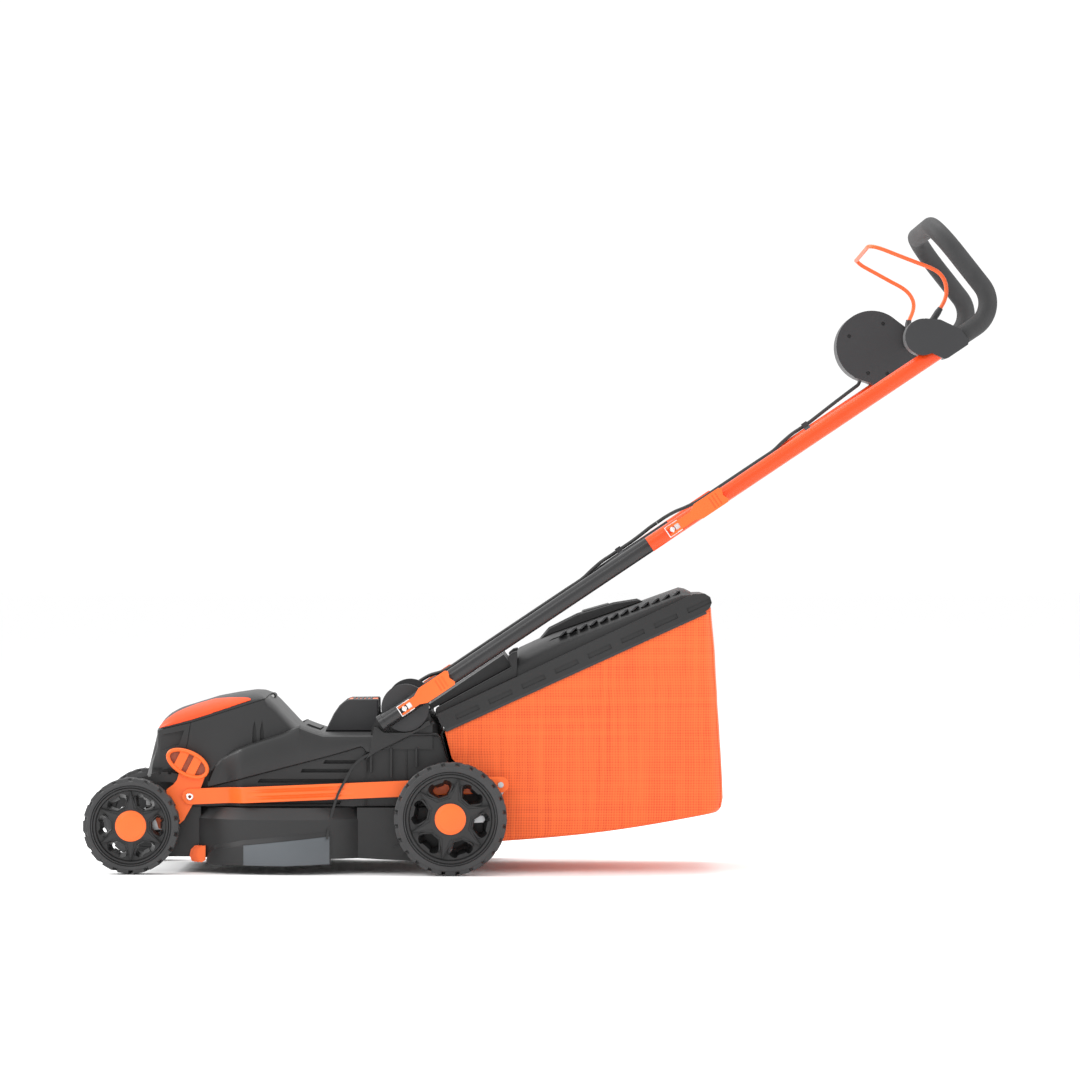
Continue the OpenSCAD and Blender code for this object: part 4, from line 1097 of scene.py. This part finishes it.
def make_bag_lid():
    rim = [(-150, 227.4), (263, 415), (270, 421), (272.7, 429), (270, 438), (262, 443), (243.7, 442.6),
           (-163.5, 252), (-160, 240)]
    lid = build("bag_lid_rim", prism(rim, -148, 148), "grass_bag")
    hollow = prism([(-146, 225), (262, 408), (268, 427), (262, 438), (244, 438), (-158, 249.5)], -144, 144)
    tabs = []
    slope = Vector((0.9105, 0, 0.4135))
    for k in range(8):
        start = Vector((-132 + 52.5 * k, 0, 243.3 + 24.1 * k))
        up = Vector((-3, 0, 7.5))
        outline = [(q.x, q.z) for q in (start, start + slope * 40, start + slope * 40 + up, start + up)]
        tabs += [prism(outline, *flank(sign, 145.4, 150)) for sign in (-1, 1)]
    cut(lid, [hollow] + tabs)
    rounded(lid, 2.0, 3)
    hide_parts("bag_lid")
    # solid shoulders on both sides of the flap
    wedge = [(-167, 249), (-165.5, 261.3), (-155, 267), (-46, 326.6), (-52, 343), (-44, 350), (-36, 352),
             (-36, 311), (-160, 252)]
    shoulders = build("bag_lid_shoulders", both(prism(wedge, 119.5, 137)), "grass_bag")
    rounded(shoulders, 2.0, 3)
    # black strip along the rim's lower edge that stands in for the shadow line between lid and bag (painted
    # shadow)
    shadow_strip = prism([(-150, 227.4), (263, 415), (265, 411.5), (-148.5, 223.5)], -147.4, 147.4)
    build("bag_lid_shadow_strip", shadow_strip, "grass_bag", "black_plastic")
    # crowned cover over the rim, with the deep step behind the flap
    rings = []
    stations = [-122 + 78 * k / 12 for k in range(12)] + [-44 + 12 * k / 12 for k in range(12)]
    stations += [-32 + 272 * k / 36 for k in range(37)]
    for x in stations:
        top = softened(LID_CROWN, x, 2)
        base = along(LID_LINE, x) - 3
        half = 137 - 6 * step((x + 20) / -60)
        ring = []
        for j in range(33):
            t = pi * j / 32
            y = -half * copysign(abs(cos(t)) ** (2 / 4.4), cos(t))
            z = base + max(3.0, top - base) * abs(sin(t)) ** (2 / 3.2)
            ring.append((x, y, z))
        ring += [(x, half * (1 - j / 8), base - 1) for j in range(0, 17)]
        rings.append(ring)
    crown = build("bag_lid_crown", skin(rings, True, True), "grass_bag", angle=38)
    pocket = prism([(36, 400), (36, 381), (46, 366), (134, 397.5), (144, 422), (144, 460)], -49, 49)
    inside = [(-96, 262), (-36, 300), (-18, 346), (20, 371), (215, 441), (232, 436), (232, 380)]
    cut(crown, [pocket, prism(inside, -118, 118)])
    tray = [(30, 380), (42, 360), (138, 394), (150, 423), (146, 423), (135, 398), (45, 366), (35, 380)]
    ends = [(34, 378), (46, 362), (136, 394), (146, 422), (140, 424)]
    recess = merged([prism(tray, -52, 52), both(prism(ends, 49, 52))])
    build("bag_lid_pocket", recess, "grass_bag")
    # air louvres: slanted blades along both shoulders
    blades = []
    for k in range(12):
        x = 34 + 16.4 * k
        z = along(LID_CROWN, x)
        shape = [(x - 5, z - 9), (x + 3, z - 0.6), (x + 7, z + 1), (x + 8.5, z + 0.2), (x, z - 8)]
        blades += [prism(shape, *flank(sign, 92, 128)) for sign in (-1, 1)]
    louvres = build("bag_lid_louvres", merged(blades), "grass_bag", "black_plastic")
    rounded(louvres, 0.8, 2)
    grip_side = [(-2, 367), (14, 386), (60, 409), (120, 427), (158, 433), (166, 429.5), (150, 424),
                 (19, 377)]
    grip = merged([both(prism(grip_side, 52.1, 62)),
                   prism([(66, 401), (68, 414.2), (112, 426.7), (114, 414)], -52.2, 52.2)])
    handle = build("bag_grip", grip, "grass_bag")
    rounded(handle, 2.4, 3)


# ---- handle ----

HANDLE_ANGLE = radians(33.8)
TUBE_R, GRIP_R, CABLE_R, BAIL_R = 12.5, 15, 3.0, 3.2
ALONG = Vector((cos(HANDLE_ANGLE), 0, sin(HANDLE_ANGLE)))
ABOVE = Vector((-sin(HANDLE_ANGLE), 0, cos(HANDLE_ANGLE)))


def on_handle(origin, point):
    """A point [along the tube, y, above it] from a handle joint."""
    return origin + ALONG * point[0] + Vector((0, point[1], 0)) + ABOVE * point[2]


def handle_line(origin, start, half=191.0):
    """Middle line of the bent upper tube from start on the right round to start on the left."""
    # straight part, rising leg, its angle, and the radii of the side bends and of the top corners
    long, leg, turn, bend, top_bend = 623.8, 171.6, radians(94.4), 45.0, 60.0
    tangent = bend * tan(turn / 2)
    way = Vector((cos(turn), 0, sin(turn)))
    end = Vector((long, 0, 0)) + (leg - top_bend) * way
    local = [Vector((start + (long - tangent - start) * k / 12, half, 0)) for k in range(12)]
    local += [Vector((long - tangent + bend * sin(a), half, bend - bend * cos(a)))
              for a in (turn * k / 16 for k in range(17))]
    centre = end + Vector((0, half - top_bend, 0))
    local += [centre + top_bend * (sin(a) * way + Vector((0, cos(a), 0)))
              for a in (pi / 2 * k / 16 for k in range(17))]
    other = [Vector((p.x, -p.y, p.z)) for p in reversed(local)]
    return [on_handle(origin, p) for p in local + other]


def make_handle():
    middle = joint_at("upper_handle_fold")
    bent = swept(handle_line(middle, -43), TUBE_R, 40)
    tube = build("upper_handle_tube", bent, "upper_handle", "orange_paint", 50)
    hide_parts("upper_tube")
    grip = build("foam_grip", swept(handle_line(middle, 541), GRIP_R, 40), "upper_handle", "foam", 50)
    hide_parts("handle_grip")
    upper = [[404.2, 188, 26.3], [399.5, 188, 22.8], [388, 188.5, 22], [354, 190, 20], [325, 191, 18],
             [300, 191, 16.2], [289, 191, 15.9], [278, 191, 15.9], [262, 186.8, 16], [240, 181.5, 13.4],
             [220, 178.2, 10.2], [75, 178.2, 10.2], [50, 173, 13], [30, 168, 17], [12, 165, 18.6],
             [-5.8, 165, 18.6]]
    lower = [[502.2, 165, 18.6], [488, 165, 18.4], [470, 165, 17], [452, 165, 16], [440, 165, 15.9],
             [425, 165, 15.9], [408, 165, 15.9], [390, 160.8, 16], [368, 155.5, 13.4], [348, 152.3, 10.2],
             [80, 152.3, 10.2], [66, 154, 13], [54, 158, 17], [44, 160, 18.6], [32, 160, 19],
             [24.4, 157.4, 19.2], [24.2, 153.6, 19.2]]
    for name, origin, route, body in (("cable_upper", middle, upper, "upper_handle"),
                                      ("cable_lower", joint_at("handle_fold"), lower, "lower_handle")):
        line = smooth_path([on_handle(origin, p) for p in route], 5)
        cable = build(name + "_sheath", swept(line, CABLE_R, 14), body, "cable", 60)
        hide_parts(name)


def make_bail():
    """The bail's wire with a sleeve and a pin at both ends."""
    route = [[633, -158, 893], [641, -158, 908], [644, -158, 922], [642, -158, 937], [634, -158, 950],
             [620, -158, 959], [543, -158, 989], [530, -156, 993], [523, -148, 994], [521, -134, 994],
             [520, 110, 988], [520, 124, 987.5], [524, 132, 985], [531, 134, 979.5], [597, 134, 943],
             [609, 134, 932], [615, 134, 919], [614, 134, 905], [607, 134, 888]]
    hub = joint_at("bail_squeeze")
    wire = swept(smooth_path(route, 4), BAIL_R, 18)
    bail = build("bail_wire", wire, "bail_set", "bail_paint", 60)
    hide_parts("bail")
    sleeves = []
    for end, y in ((Vector(route[0]), -158), (Vector(route[-1]), 134)):
        start = Vector((hub.x, y, hub.z))
        sleeves.append(swept([start.lerp(end, t) for t in (0, 0.5, 0.92, 1.0, 1.06)],
                             lambda t: 5.4 if t < 0.7 else 4.6, 18))
        pin = sorted((y - copysign(2, y), y + copysign(15, y)))
        sleeves.append(lathe([(0, pin[0]), (3, pin[0]), (3, pin[1]), (0, pin[1])], (hub.x, 0, hub.z), 24))
    build("bail_sleeves", merged(sleeves), "bail_set", "black_plastic", 40)


# ---- CAD nodes that show as they are ----

# look, then the nodes that wear it with the width of their rounded edges in millimetres
SHOWN = {
    "charcoal_plastic": {"deck_housing": 1.5, "rear_chute": 1.0, "handle_brackets": 1.5, "height_gate": 0.5,
                         "deck_screws": 0.4, "rear_flap": 1.8},
    "black_plastic": {"controller_box": 0.6, "battery_pack": 2.0, "pivot_discs": 2.2, "switch_box": 3.0,
                      "bail_bracket": 5.0, "cable_clip_upper": 0.8, "cable_clip_lower": 0.8},
    "orange_plastic": {"grass_combs": 0.8, "isolator_key": 1.2, "safety_button": 1.2,
                       "cam_lever_lower_left": 1.4, "cam_lever_lower_right": 1.4,
                       "cam_lever_upper_left": 1.4, "cam_lever_upper_right": 1.4},
    "steel": {"motor": 0.8, "blade": 0.3, "blade_spindle": 0.3, "front_axle": 0.5, "rear_axle": 0.5,
              "bag_frame": 0},
    "zinc": {"hinge_rods": 0.3, "blade_bolt": 0.6, "pivot_bolts": 0.4, "joint_bolts": 0.4},
    "black_paint": {"lower_tubes": 0},
}


def dress_cad_nodes():
    """Materials and rounded edges for the CAD nodes whose shape is already right."""
    for look, nodes in SHOWN.items():
        for name, edge in nodes.items():
            node = frame["nodes"][name]
            node.data.materials.clear()
            node.data.materials.append(LOOKS[look])
            if edge:
                rounded(node, edge, 3, 40)


make_camera()
make_studio()
LOOKS = make_materials()
dress_cad_nodes()
make_nose()
make_lid()
make_body()
make_carry_handle()
make_wheels()
make_lever()
make_tie_bar()
make_rail()
make_skirts()
make_bag()
make_bag_lid()
make_handle()
make_bail()
make_cam_plates()
